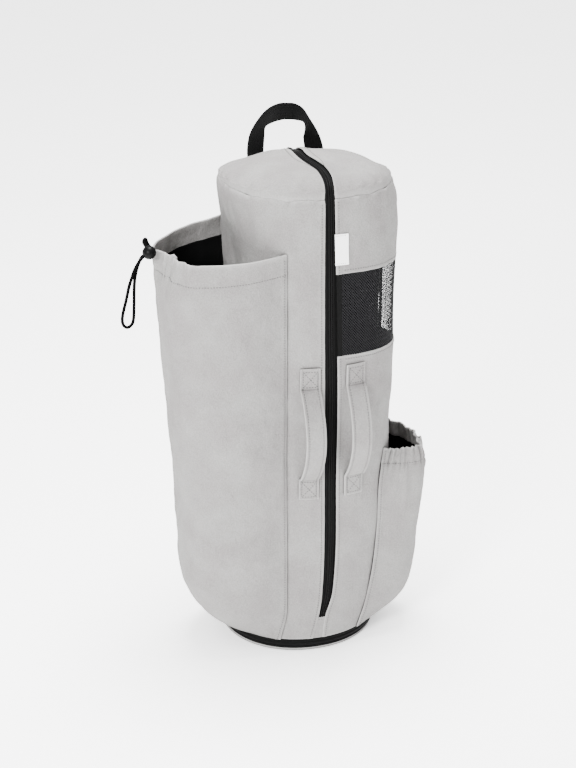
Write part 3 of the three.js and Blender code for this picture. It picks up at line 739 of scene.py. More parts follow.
@dataclass(frozen=True)
class BraidedElastic:
    """Round elastic in a braided black sleeve: diagonal strands about 1.5 mm wide."""

    name: str = "braided elastic"
    strand: float = 1.5 * MM
    turned: float = 38.0

    def material(self) -> Material:
        """Two sets of crossing diagonals as bump and as faint grey.

        Returns:
            The material.
        """
        made, tree, shader = new_material(self.name, Roughness=0.6, Specular_IOR_Level=0.0)
        strands = thread_waves(tree, self.strand, self.strand, self.turned)
        colour = blend(tree, ranged(tree, strands, -1, 1), linear("#040404"), linear("#0e0e0e"))
        tree.links.new(colour, shader.inputs["Base Color"])
        tree.links.new(bump(tree, strands, 0.12 * MM), shader.inputs["Normal"])
        return made


class Finishes:
    """Every finish of the bag, made once."""

    def __init__(self) -> None:
        """Make the materials."""
        self.canvas = CottonCanvas().material()
        # Near-black finish of inner faces: painted shade inside the closed bag and the pockets.
        self.inner_shade = WovenBlack("near-black painted inner shade", "#0a0a0a", 1.2 * MM, 1.2 * MM, 0.05 * MM, 0.8).material()
        self.tape = WovenBlack("zip tape", "#050505", 1.3 * MM, 1.0 * MM, 0.18 * MM, 0.62).material()
        self.coil = WovenBlack("zip coil", "#070707", 40 * MM, 1.5 * MM, 0.4 * MM, 0.4).material()
        webbing = WovenBlack("polyester webbing", "#060606", 2.1 * MM, 1.4 * MM, 0.4 * MM, 0.75)
        self.webbing = webbing.material()
        # Net yarn: black, drawn dark grey so that its strands carry painted glints.
        self.net = WovenBlack("net yarn", "#2a2a2c", 2.0 * MM, 0.9 * MM, 0.1 * MM, 0.5).material()
        self.pale_thread = SewingThread("pale thread", "#454443").material()
        self.dark_thread = SewingThread("dark thread", "#151515").material()
        self.satin = LabelSatin().material()
        self.nylon = MouldedNylon().material()
        self.enamel = MouldedNylon("black enamel", "#0b0b0b", 0.35).material()
        self.cord = BraidedElastic().material()
        self.sewn_canvas = [self.canvas, self.pale_thread]
        # Canvas outside, the near-black painted shade on inner faces, and thread.
        self.canvas_with_inner_shade = [self.canvas, self.inner_shade, self.pale_thread]


class Slot(Enum):
    """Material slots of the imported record."""

    CANVAS = "canvas"
    MESH = "mesh"
    ZIP_TAPE = "zip_tape"
    ZIP_COIL = "zip_coil"
    ZIP_METAL = "zip_metal"
    WEBBING = "webbing"
    LABEL = "label"
    STOP = "stop_plastic"
    CORD = "cord"


def make_piece(
    name: str,
    shape: Shape,
    finishes: Sequence[Material],
    nodes: Sequence[str] = (),
    sharp: float = 42.0,
) -> Piece:
    """Put a shape into the scene as one piece that rides on the bag.

    Args:
        name: Name of the piece.
        shape: Its mesh data.
        finishes: Materials, in the order of the shape's finish numbers.
        nodes: CAD nodes that the piece replaces.
        sharp: Angle in degrees past which an edge is drawn sharp.

    Returns:
        The new object.
    """
    mesh = bpy.data.meshes.new(name)
    mesh.from_pydata(shape.points, [], shape.quads.tolist())
    corners = np.empty(len(mesh.loops), int)
    mesh.loops.foreach_get("vertex_index", corners)
    mesh.uv_layers.new(name="Weave").data.foreach_set("uv", shape.weave[corners].ravel())
    for finish in finishes:
        mesh.materials.append(finish)
    mesh.polygons.foreach_set("material_index", shape.finish.astype(np.int32))
    work = bmesh.new()
    work.from_mesh(mesh)
    bmesh.ops.remove_doubles(work, verts=work.verts, dist=2e-6)
    bmesh.ops.dissolve_degenerate(work, edges=work.edges, dist=1e-7)
    work.to_mesh(mesh)
    work.free()
    mesh.polygons.foreach_set("use_smooth", np.ones(len(mesh.polygons), bool))
    mesh.set_sharp_from_angle(angle=math.radians(sharp))
    mesh.update()
    piece = bpy.data.objects.new(name, mesh)
    bpy.context.collection.objects.link(piece)
    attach(piece, "root")
    if nodes:
        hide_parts(*nodes)
    LOG.info("%s: %d faces", name, len(mesh.polygons))
    return piece


def grid_area(points: Array) -> float:
    """Area of a grid: the sum of its steps' cross products."""
    steps = np.cross(points[:-1, 1:] - points[:-1, :-1], points[1:, :-1] - points[:-1, :-1])
    return float(np.linalg.norm(steps, axis=-1).sum())


def sew_with_inner_shade(
    finishes: Finishes,
    name: str,
    node: str,
    points: Array,
    cloth: Shape,
    stitches: Sequence[Shape],
    held: str,
    rests_on: Sequence[str],
) -> None:
    """Args:
        finishes: Finishes of the bag.
        name: Name of the piece.
        node: CAD node that it replaces.
        points: Grid of the wall's outer face; not used.
        cloth: The closed wall.
        stitches: Rows of stitches.
        held: How the sheet is held; not used.
        rests_on: Pieces that it rests on; not used.
    """
    # The cloth's inner faces take the near-black painted shade.
    shape = Shape.joined([cloth, *[row.dressed(2) for row in stitches]])
    piece = make_piece(name, shape, finishes.canvas_with_inner_shade, [node])


def sew_plain(
    name: str, node: str, cloth: Shape, stitches: Sequence[Shape], finishes: Sequence[Material]
) -> None:
    """Make a piece without the near-black painted inner shade from its cloth and stitches, in a cloth's and
    a thread's finish.

    Args:
        name: Name of the piece.
        node: CAD node that it replaces.
        cloth: The closed cloth.
        stitches: Rows of stitches.
        finishes: Finishes of the cloth and of the thread.
    """
    make_piece(name, Shape.joined([cloth, *[row.dressed(1) for row in stitches]]), finishes, [node])


# Form of the bag


@dataclass(frozen=True)
class BodyForm:
    """Leaning, bulging round body with its puffed cap: where every panel and strap lies.

    A level of the body is a superellipse. At turn t its point is (sin t, cos t) times a share
    (|sin t|^n + |cos t|^n)^(-1/n), times the half width and the half depth of that level.
    """

    height: float = 0.773
    half_width: float = 0.137
    front_depth: float = 0.139
    back_depth: float = 0.106
    lean: float = 0.020
    cap_rise: float = 0.031
    cap_back_drop: float = 0.028
    cap_right_drop: float = 0.017
    drop_start: float = 0.6
    drop_end: float = 0.7
    left_slump: float = 0.25
    right_slump: float = 0.55
    back_slump: float = 0.22
    front_shoulder: float = 6
    side_shoulder: float = 3
    dent_depth: float = 0.020
    zip_width: float = 0.022
    zip_offset: float = 0.020
    sections: Table = Table(
        "up width front back lean square",
        [
            (0, 0.92, 0.91, 1.1, 0, 2.1), (0.03, 0.935, 0.93, 1.12, 0.08, 2.1),
            (0.09, 0.965, 0.96, 1.14, 0.5, 2.2), (0.19, 0.945, 0.945, 1.12, 0.85, 2.3),
            (0.39, 0.92, 0.92, 1.08, 1, 2.4), (0.58, 0.95, 0.95, 1.07, 0.95, 2.4),
            (0.78, 0.975, 0.975, 1.05, 0.85, 2.4), (1, 1, 1, 1, 0.75, 2.3),
        ],
    )
    dents: tuple = (
        (-84, 44, 0.82, 0.17, 1), (66, 26, 0.46, 0.1, 0.12), (-20, 12, 0.9, 0.07, 0.1),
        (88, 58, 1, 0.05, 0.68),
    )
    zip_line: Table = Table(
        "up side wide",
        [
            (0.03, 0.07, 0.78), (0.08, 0.35, 0.58), (0.135, 0.8, 0.84), (0.24, 1.04, 0.95),
            (0.39, 1.05, 0.94), (0.58, 1, 1), (0.79, 0.82, 0.9), (1, 0.67, 0.74),
        ],
    )
    zip_cap_line: Table = Table(
        "back side wide",
        [
            (0, 0.67, 0.74), (0.057, 0.735, 0.73), (0.118, 0.765, 0.79), (0.2, 0.735, 0.82),
            (0.273, 0.6, 0.92), (0.38, 0.365, 0.97), (0.518, 0.15, 0.83), (0.72, 0.22, 0.9),
            (1, 0.3, 0.76),
        ],
    )
    waver_height: float = 1.3 * MM
    seam_waver: Ripple = field(default_factory=lambda: Ripple(29, 32 * MM))

    def dent(self, turn: Array, z: Array) -> Array:
        """How far the cloth is pushed in: a sum of bells round and up the body.

        Args:
            turn: Turn in degrees.
            z: Height in metres.

        Returns:
            The depth in metres.
        """
        total = sum(
            deep * bell((turn - at) / wide) * bell((z / self.height - up) / tall)
            for at, wide, up, tall, deep in self.dents
        )
        return self.dent_depth * total

    def outline(self, turn: Array, z: Array, out: Array | float = 0.0) -> Array:
        """Points of the full outline, without its dents, moved out by a distance.

        Args:
            turn: Turn in degrees.
            z: Height in metres.
            out: Distance outwards in metres.

        Returns:
            The points.
        """
        up = z / self.height
        across, forward = np.sin(np.radians(turn)), np.cos(np.radians(turn))
        square = self.sections.at("square", up)
        share = (np.abs(across) ** square + np.abs(forward) ** square) ** (-1 / square)
        front = self.front_depth * self.sections.at("front", up)
        back = self.back_depth * self.sections.at("back", up)
        depth = np.where(forward > 0, front, back)
        width = self.half_width * self.sections.at("width", up)
        lean = self.lean * self.sections.at("lean", up)
        return stacked(lean + (width * share + out) * across, -(depth * share + out) * forward, z)

    def point(self, turn: Array, z: Array, out: Array | float = 0.0) -> Array:
        """Points of the body's outer face, moved out by a distance."""
        return self.outline(turn, z, out - self.dent(turn, z))

    def turn_at(self, x: Array, z: Array) -> Array:
        """Turn at which the front of the body has a given x."""
        x, z = np.broadcast_arrays(np.asarray(x, float), np.asarray(z, float))
        return bisected(-80, 80, lambda turn: self.point(turn, z)[..., 0] < x, x)

    def back_turn_at(self, x: Array, z: Array) -> Array:
        """Turn at which the back of the body has a given x."""
        x, z = np.broadcast_arrays(np.asarray(x, float), np.asarray(z, float))
        return bisected(100, 260, lambda turn: self.point(turn, z)[..., 0] > x, x)

    def seam_height(self, x: Array, y: Array) -> Array:
        """Height of the seam between body and cap, which drops to the back and to the right.

        Args:
            x: Place across in metres.
            y: Place to the back in metres.

        Returns:
            The height in metres.
        """
        backward = np.clip(y / self.back_depth, 0, 1) ** 2
        to_back = ease(-self.drop_start, self.drop_end, y / self.back_depth)
        rightward = np.clip(x / self.half_width, 0, 1) ** 2 * to_back
        return self.height - self.cap_back_drop * backward - self.cap_right_drop * rightward

    def straight_seam_at(self, turn: Array) -> Array:
        """Height of the cap's seam at a turn."""
        rim = self.point(turn, np.full(np.shape(turn), self.height))
        return self.seam_height(rim[..., 0], rim[..., 1])

    def seam_at(self, turn: Array) -> Array:
        """Height of the cap's seam: the pattern's seam plus the waver of its gathers."""
        waver = self.seam_waver.at(np.radians(turn) * self.half_width, 0.0 * turn)
        return self.straight_seam_at(turn) + self.waver_height * waver

    def cap_height(self, x: Array, y: Array) -> Array:
        """Height of the puffed cap: the seam's height plus a rise times sqrt(1 - radius^shoulder).

        Args:
            x: Place across in metres.
            y: Place to the back in metres.

        Returns:
            The height in metres.
        """
        level = np.array(1.0)
        width = self.half_width * self.sections.at("width", level)
        lean = self.lean * self.sections.at("lean", level)
        square = self.sections.at("square", level)
        turn = np.degrees(np.arctan2(x - lean, -y))
        dent = self.dent(turn, self.seam_at(turn))
        depth = np.where(y < 0, self.front_depth, self.back_depth) - dent
        across = np.abs((x - lean) / (width - dent)) ** square
        radius = np.minimum(1, (across + np.abs(y / depth) ** square) ** (1 / square))
        to_front = ease(0, 1, -y / depth / np.maximum(radius, 0.01))
        shoulder = mix(self.side_shoulder, self.front_shoulder, to_front)
        slump = np.where(x > lean, self.right_slump, self.left_slump) * across * (1 - to_front)
        rise = 1 - self.back_slump * np.clip(y / self.back_depth, 0, 1) - slump
        return self.seam_height(x, y) + self.cap_rise * rise * np.sqrt(1 - radius**shoulder)

    def zip_middle(self, z: Array) -> Array:
        """Where the middle of the zip runs across the front."""
        return self.zip_offset * self.zip_line.at("side", z / self.height)

    def zip_half(self, z: Array) -> Array:
        """Half of the zip's visible width."""
        return self.zip_width * self.zip_line.at("wide", z / self.height) / 2

    def zip_on_cap(self, y: Array, edge: float = 0.0) -> Array:
        """Middle of the zip where it crosses the cap, or its left (-1) or right (1) edge.

        Args:
            y: Place to the back in metres.
            edge: -1, 0 or 1 for the left edge, the middle or the right edge.

        Returns:
            The place across in metres.
        """
        share = (y + self.front_depth) / (self.front_depth + self.back_depth)
        half = self.zip_width * self.zip_cap_line.at("wide", share) / 2
        return self.zip_offset * self.zip_cap_line.at("side", share) + edge * half


FORM = BodyForm()
SEAM_TUCK = 3.0 * MM
CANVAS = 2.0 * MM
BAND_TOP = 22.7 * MM
BOARD = 4.7 * MM
CLEAR = 0.3 * MM
STRAP_CLEAR = 0.8 * MM
FOLD_WIDTH = (6 * MM, 9.5 * MM)
SIDE_GAP = 0.15


@dataclass
class BodyPanels:
    """Canvas walls of the body: left, two on the right beside the window, and the right back."""

    finishes: Finishes
    mesh_top: float = 0.654
    mesh_bottom: float = 0.518
    mesh_drop: float = 0.033
    mesh_end: float = 107.0
    back_edge: float = 179.93
    seam_gap: float = 0.4 * MM
    ripple: float = 1.2 * MM
    crumple: float = 0.35 * MM
    zip_fold: float = 0.7 * MM
    stitch_inset: float = 4.2 * MM
    pucker_reach: float = 9 * MM
    tuck_reach: float = 2.8 * MM
    gather_reach: float = 14 * MM
    loose: Ripple = field(default_factory=lambda: Ripple(3, 90 * MM))
    fine: Ripple = field(default_factory=lambda: Ripple(5, 26 * MM, 1.5))
    folds: Creases = field(
        default_factory=lambda: Creases(
            [
                (-205, 772, -188, 690, 9, 2.2), (-168, 776, -160, 700, 8, -2.0),
                (-120, 770, -104, 700, 8, 1.8), (-60, 768, -40, 640, 12, -1.0),
                (-30, 740, -20, 560, 14, 0.8), (60, 760, 90, 700, 10, 0.8),
                (130, 740, 60, 690, 12, -0.8), (170, 770, 150, 690, 10, -1.0),
                (60, 480, 110, 420, 12, 0.8), (120, 470, 60, 380, 14, -0.7), (30, 120, 90, 60, 12, 0.8),
                (60, 160, 20, 80, 14, -0.7),
            ]
        )
    )

    def grid(
        self,
        start: Callable[[Array], Array],
        end: Callable[[Array], Array],
        low: Callable[[Array], Array],
        high: Callable[[Array], Array],
        columns: int,
        rows: int,
        zip_side: int = 0,
    ) -> Array:
        """Grid of one panel.

        At shares (u, v) the height is mixed from low(u) to high(u) by v, and the turn from
        start(z) to end(z) by u. The cloth moves out by loose ripples, folds and puckers beside
        the zip, and tucks in at the cap's seam.

        Args:
            start: Turn of the left edge at a height.
            end: Turn of the right edge at a height.
            low: Height of the lower edge at a share.
            high: Height of the upper edge at a share.
            columns: Points across.
            rows: Points up.
            zip_side: 1 where the right edge lies along the zip, -1 for the left, else 0.

        Returns:
            The grid of points.
        """
        u, v = shares(columns, rows)
        top = high(u)
        z = mix(low(u), top, v)
        turn = mix(start(z), end(z), u)
        around = np.radians(turn) * FORM.half_width
        out = self.ripple * self.loose.at(around, z) + self.crumple * self.fine.at(around, z)
        out += self.folds.at(around, z) * (np.abs(turn) < 100)
        out *= ease(0, 0.05, z - BAND_TOP) * 0.75 + 0.25
        if zip_side:
            beside = np.abs(around - around[:, -1:] if zip_side > 0 else around - around[:, :1])
            out *= ease(0, 0.03, beside)
            out += self.zip_fold * (1 - ease(*FOLD_WIDTH, beside))
            pucker = self.fine.at(z * 0.3 + 0.2, z) * np.exp(-((beside / self.pucker_reach) ** 2))
            out += self.crumple * pucker * ease(0, 3 * MM, beside)
        seam = FORM.seam_at(turn)
        below = np.clip(seam - z, 0, 1)
        tuck = np.exp(-below / self.tuck_reach)
        pucker = self.ripple * self.fine.at(around * 1.4, z * 0) * np.exp(-below / self.gather_reach)
        return FORM.point(turn, z, out - SEAM_TUCK * tuck + pucker)

    def build(self) -> None:
        """Make the four panels with their top stitches."""
        left_edge = lambda z: FORM.turn_at(FORM.zip_middle(z) - FORM.zip_half(z), z)
        right_edge = lambda z: FORM.turn_at(FORM.zip_middle(z) + FORM.zip_half(z), z)
        side_end = lambda z: 0 * z + self.mesh_end
        back_start = lambda z: side_end(z) + SIDE_GAP
        back_edge = lambda z: 0 * z + self.back_edge
        foot = lambda u: np.full(np.shape(u), BAND_TOP + CLEAR)
        window_top = lambda u: self.mesh_top - self.mesh_drop * u**2
        window_foot = lambda u: self.mesh_bottom - self.mesh_drop * u**2
        top = lambda start, end: lambda u: FORM.seam_at(mix(start, end, u)) - self.seam_gap
        tall = np.array(FORM.height)
        left_top = top(-self.back_edge, float(left_edge(tall)))
        upper_top = top(float(right_edge(tall)), self.mesh_end)
        back_top = top(self.mesh_end + SIDE_GAP, self.back_edge)
        left = self.grid(lambda z: -back_edge(z), left_edge, foot, left_top, 210, 150, 1)
        upper = self.grid(right_edge, side_end, window_top, upper_top, 110, 46, -1)
        lower = self.grid(right_edge, side_end, foot, window_foot, 110, 110, -1)
        back = self.grid(back_start, back_edge, foot, back_top, 90, 120)
        upper_hem = stitched(upper, [(0.05, 0.045), (1, 0.045)])
        lower_hem = stitched(lower, [(0.05, 0.99), (1, 0.99)])
        for name, points, stitches, below in (
            ("left", left, [self.beside_zip(left, 1), self.beside_edge(left, 0.012)], "base_board"),
            ("right_upper", upper, [self.beside_zip(upper, -1), upper_hem], "left_wall"),
            ("right_lower", lower, [self.beside_zip(lower, -1), lower_hem], "base_board"),
            ("right_back", back, [self.beside_edge(back, 0.03), self.beside_edge(back, 0.97)], "base_board"),
        ):
            # Inner faces get the near-black painted shade of the closed bag.
            cloth = wall(points, CANVAS, inner_shade=1)
            names = (f"{name}_wall", f"{name}_panel")
            sew_with_inner_shade(self.finishes, *names, points, cloth, stitches, "stretched", [below])

    def beside_zip(self, points: Array, side: int) -> Shape:
        """Stitches a little way from the edge that lies along the zip.

        Args:
            points: Grid of the panel.
            side: 1 where the right edge lies along the zip, -1 for the left.

        Returns:
            The stitches.
        """
        width = np.linalg.norm(np.diff(points, axis=1), axis=-1).sum(axis=1)
        v = np.linspace(0.004, 0.996, 400)
        share = self.stitch_inset / np.interp(v, np.linspace(0, 1, len(width)), width)
        path, facing = on_grid(points, 1 - share if side > 0 else share, v)
        return Stitch().along(path, facing)

    @staticmethod
    def beside_edge(points: Array, share: float) -> Shape:
        """Stitches up the panel at a share of its width."""
        return stitched(points, [(share, 0.002), (share, 0.998)])


@dataclass
class NetWindow:
    """Window of knitted net between bound edges: two sets of crossing diagonal yarns."""

    finishes: Finishes
    panels: BodyPanels
    pitch: float = 4.0 * MM
    yarn: float = 0.6 * MM
    slope: float = 1.2
    finer: float = 0.8
    steps: int = 46
    waves: int = 34
    binding: float = 0.7 * MM
    hem: float = 0.6 * MM
    hem_depth: float = 2.4 * MM
    weave: float = 0.22 * MM
    slack: float = 1.6 * MM

    def surface(self, u: Array, v: Array, out: Array | float) -> Array:
        """Window at shares round and up: the body's face pushed in a little, with a slack middle.

        Args:
            u: Share of the way round.
            v: Share of the way up.
            out: Distance outwards in metres.

        Returns:
            The points.
        """
        z = mix(self.panels.mesh_bottom, self.panels.mesh_top, v) - self.panels.mesh_drop * u**2
        start = FORM.turn_at(FORM.zip_middle(z) + FORM.zip_half(z), z)
        slack = -self.slack * np.sin(np.pi * np.clip(u, 0, 1)) * np.sin(np.pi * np.clip(v, 0, 1))
        return FORM.point(mix(start, self.panels.mesh_end, u), z, out + slack)

    def yarns(self, lean: float) -> Shape:
        """Yarns that lean one way: straight lines v = (u - start) / lean, cut at the window's edges.

        Args:
            lean: How far a yarn runs round over the window's height, as a share of its width.

        Returns:
            The shape of the yarns.
        """
        starts = np.arange(-1.2, 2.2, self.pitch / self.width)
        low = np.clip(np.where(lean > 0, -starts / lean, (starts - 1) / -lean), 0, 1)
        high = np.clip(np.where(lean > 0, (1 - starts) / lean, starts / -lean), 0, 1)
        keep = high - low > 0.03
        v = mix(low[keep][:, None], high[keep][:, None], np.linspace(0, 1, self.steps))
        u = starts[keep][:, None] + lean * v
        weave = np.sign(lean) * self.weave * np.sin(v * np.pi * self.waves)
        path = self.surface(u, v, -0.9 * MM + weave)
        facing = unit(stacked(path[..., 0] - FORM.lean, path[..., 1], 0 * path[..., 0]))
        return tube(path, facing, self.yarn if lean < 0 else self.finer * self.yarn, 4, 0.6)

    def build(self) -> None:
        """Make the net with its bindings."""
        corner = [self.surface(np.array([float(k)]), np.array([0.5]), 0.0)[0] for k in (0, 1)]
        middle = self.surface(np.array([0.5]), np.array([0.5]), 0.0)[0]
        self.width = float(np.linalg.norm(middle - corner[0]) + np.linalg.norm(corner[1] - middle))
        tall = self.panels.mesh_top - self.panels.mesh_bottom
        lean = tall / self.slope / self.width
        net = Shape.joined([self.yarns(-lean), self.yarns(lean)])
        piece = make_piece("net", net, [self.finishes.net], ["mesh_window"])
        u, v = shares(60, 40)
        area = min(grid_area(self.surface(u, v, 0.0)), self.width * tall)
        bands = []
        for low, high, start, end in ((-0.02, 1.02, 0.0, 0.03), (-0.02, 1.02, 0.955, 1.0)):
            u, v = np.meshgrid(np.linspace(start, end, 8), np.linspace(low, high, 60))
            bands.append(wall(self.surface(u, v, -0.2 * MM), self.binding))
        for low, high in ((-0.03, 0.012), (0.985, 1.03)):
            u, v = np.meshgrid(np.linspace(0, 1, 90), np.linspace(low, high, 5))
            bands.append(wall(self.surface(u, v, -self.hem_depth), self.hem))
        make_piece("net_binding", Shape.joined(bands), [self.finishes.tape])


@dataclass
class Cap:
    """Puffed cap in two halves, gathered a little where it is sewn to the body."""

    finishes: Finishes
    spread: float = 0.5
    cloth: float = 1.6 * MM
    gathers: float = 2.4 * MM
    gather_reach: float = 16 * MM
    groove: float = 3.2 * MM
    rim_reach: float = 30 * MM
    zip_reach: float = 25 * MM
    sagging: float = 1.6 * MM
    zip_fold: float = 0.8 * MM
    fine: Ripple = field(default_factory=lambda: Ripple(17, 30 * MM))
    loose: Ripple = field(default_factory=lambda: Ripple(11, 80 * MM))

    def grid(self, side: int) -> Array:
        """Half of the cap: from its rim, inwards by 1 - cos, to a line beside the zip.

        Args:
            side: 1 for the right half, -1 for the left.

        Returns:
            The grid of points, along the rim and inwards.
        """
        tall = np.array(FORM.height)
        edge_x = lambda y: FORM.zip_on_cap(y, side)
        front = float(FORM.turn_at(FORM.zip_middle(tall) + side * FORM.zip_half(tall), tall))
        back = float(FORM.back_turn_at(edge_x(np.array(FORM.back_depth)), tall)) - (0 if side > 0 else 360)
        u, v = np.meshgrid(np.linspace(0, 1, 150), np.linspace(0, 1, 60) ** 1.25)
        way = u if side > 0 else 1 - u
        turn = mix(front, back, way)
        seam = FORM.seam_at(turn)
        around = np.radians(turn) * FORM.half_width
        rim = FORM.point(turn, seam, -SEAM_TUCK)
        inner_y = self.spread * mix(-FORM.front_depth, FORM.back_depth, way)
        inward = 1 - np.cos(v * np.pi / 2)
        y = mix(rim[..., 1], inner_y, inward)
        x = edge_x(y) + (rim[..., 0] - edge_x(rim[..., 1])) * (1 - inward)
        depth = np.linalg.norm(np.stack([x - rim[..., 0], y - rim[..., 1]]), axis=0)
        z = FORM.cap_height(x, y)
        z = np.where(v == 0, seam, z)
        pucker = self.gathers * self.fine.at(around * 1.3, depth * 0.4) * np.exp(-depth / self.gather_reach)
        sag = self.sagging * self.loose.at(x, y) * ease(0, self.rim_reach, depth)
        beside = np.abs(x - edge_x(y))
        fold = self.zip_fold * (1 - ease(*FOLD_WIDTH, beside))
        calm = ease(0, self.zip_reach, beside)
        points = stacked(x, y, z)
        rise = (pucker + sag) * calm + fold
        return points + normals_of(points) * (rise * ease(0, self.groove, depth))[..., None]

    def build(self) -> None:
        """Make both halves with the stitches beside the zip."""
        for side, name in ((-1, "left"), (1, "right")):
            points = self.grid(side)
            stitches = Stitch().along(*on_grid(points, np.linspace(0.02, 0.98, 200), np.full(200, 0.965)))
            # Inner faces get the near-black painted shade under the cap.
            cloth = wall(points, self.cloth, inner_shade=1)
            piece, node = f"cap_{name}_half", f"cap_{name}"
            sew_with_inner_shade(self.finishes, piece, node, points, cloth, [stitches], "stretched", ["left_wall"])


@dataclass
class MainZip:
    """Zip up the front and over the cap: two tapes, a ribbed coil and a slider at the back."""

    finishes: Finishes
    bottom: float = 0.062
    back_margin: float = 6 * MM
    hidden: float = 5 * MM
    slider_length: float = 16 * MM
    slider_width: float = 9 * MM
    slider_setback: float = 30 * MM
    slider_height: float = 2.4 * MM
    tape_cloth: float = 0.7 * MM
    coil_cloth: float = 0.9 * MM
    profile: Table = Table(
        "side height",
        [
            (0, -2.5), (0.4, -1.5), (1.4, -0.7), (2.4, -1.0), (3.2, -2.2), (4.2, -2.3), (5.2, -1.7),
            (6.2, -1.9), (7.4, -2.5), (9, -2.9), (16, -3.0),
        ],
    )

    def grid(self, offsets: Array) -> Array:
        """Strip along the zip at offsets from its middle line: up the front, then over the cap.

        Args:
            offsets: Distances from the middle line in metres.

        Returns:
            The grid of points.
        """
        z = np.linspace(self.bottom, FORM.height, 330)[:-1]
        offset, level = np.meshgrid(offsets, z)
        front = FORM.point(FORM.turn_at(FORM.zip_middle(level) + offset, level), level)
        way = 1 - np.cos(np.linspace(0, np.pi / 2, 110))
        tall = np.full(len(offsets), FORM.height)
        start = FORM.point(FORM.turn_at(FORM.zip_middle(tall) + offsets, tall), tall)
        offset, share = np.meshgrid(offsets, way)
        y = mix(start[None, :, 1], FORM.back_depth - self.back_margin, share)
        x = FORM.zip_on_cap(y) + offset
        points = np.concatenate([front, stacked(x, y, FORM.cap_height(x, y))])
        return self.eased(points)

    @staticmethod
    def eased(points: Array) -> Array:
        """The strip respaced evenly, so that it bends over the shoulder without a kink.

        Args:
            points: Grid of the strip.

        Returns:
            The even grid.
        """
        run = np.pad(np.linalg.norm(np.diff(points.mean(axis=1), axis=0), axis=1).cumsum(), (1, 0))
        at = np.linspace(0, run[-1], 420)
        flat = points.reshape(len(points), -1)
        even = np.stack([np.interp(at, run, flat[:, k]) for k in range(flat.shape[1])], axis=-1)
        weights = np.array([1, 3, 5, 6, 5, 3, 1]) / 24
        padded = np.pad(even, ((3, 3), (0, 0)), mode="reflect", reflect_type="odd")
        soft = sum(w * padded[k : k + len(even)] for k, w in enumerate(weights))
        return soft.reshape(len(even), *points.shape[1:])

    def build(self) -> None:
        """Make the tapes, the coil, the slider and the placket."""
        wide = float(np.max(FORM.zip_half(np.linspace(0.1, 0.77, 50)))) + self.hidden
        offsets = np.linspace(-wide, wide, 61)
        base = self.grid(offsets)
        height = self.profile.at("height", np.abs(offsets) / MM) * MM
        points = base + normals_of(base) * height[None, :, None]
        coil = wall(points[:, 23:38], self.coil_cloth)
        halves = (points[:, :25], points[:, 36:])
        tapes = Shape.joined([wall(half, self.tape_cloth) for half in halves])
        nodes = ["zip_tape_left", "zip_tape_right"]
        make_piece("zip_tapes", tapes, [self.finishes.tape], nodes)
        make_piece("zip_teeth", coil, [self.finishes.coil], ["zip_coil"])
        self.add_slider()
        self.add_placket()

    def add_slider(self) -> None:
        """Slider at the back end: a pinched block, its sides drawn in, with a low bridge."""
        u, v = np.meshgrid(np.linspace(-1, 1, 19), np.linspace(0, 1, 25))
        end = FORM.back_depth - self.slider_setback
        y = end - self.slider_length * (1 - v)
        waist = 1 - 0.28 * bell((v - 0.75) / 0.5)
        x = FORM.zip_on_cap(y) + self.slider_width / 2 * u * waist
        base = stacked(x, y, FORM.cap_height(x, y))
        dome = 2.2 * MM * (1 - np.abs(u) ** 4) * (1 - np.abs(2 * v - 1) ** 6)
        bridge = 1.4 * MM * bell(u / 0.45) * bell((v - 0.5) / 0.45)
        points = base + normals_of(base) * (1.8 * MM + dome + bridge)[..., None]
        block = wall(points, self.slider_height)
        make_piece("zip_slider_body", block, [self.finishes.enamel], ["zip_slider"])

    def add_placket(self) -> None:
        """Canvas that closes the gap under the zip's end, with a stitched seam."""
        u, v = shares(24, 40)
        z = mix(BAND_TOP + CLEAR, self.bottom - CLEAR, v)
        x = FORM.zip_middle(z) + (2 * u - 1) * (FORM.zip_half(z) - CLEAR)
        points = FORM.point(FORM.turn_at(x, z), z, -0.3 * MM)
        seam = stitched(points, [(0.08, 0.93), (0.92, 0.93)])
        cloth = wall(points, CANVAS)
        sew_plain("zip_placket", "zip_end_placket", cloth, [seam], self.finishes.sewn_canvas)


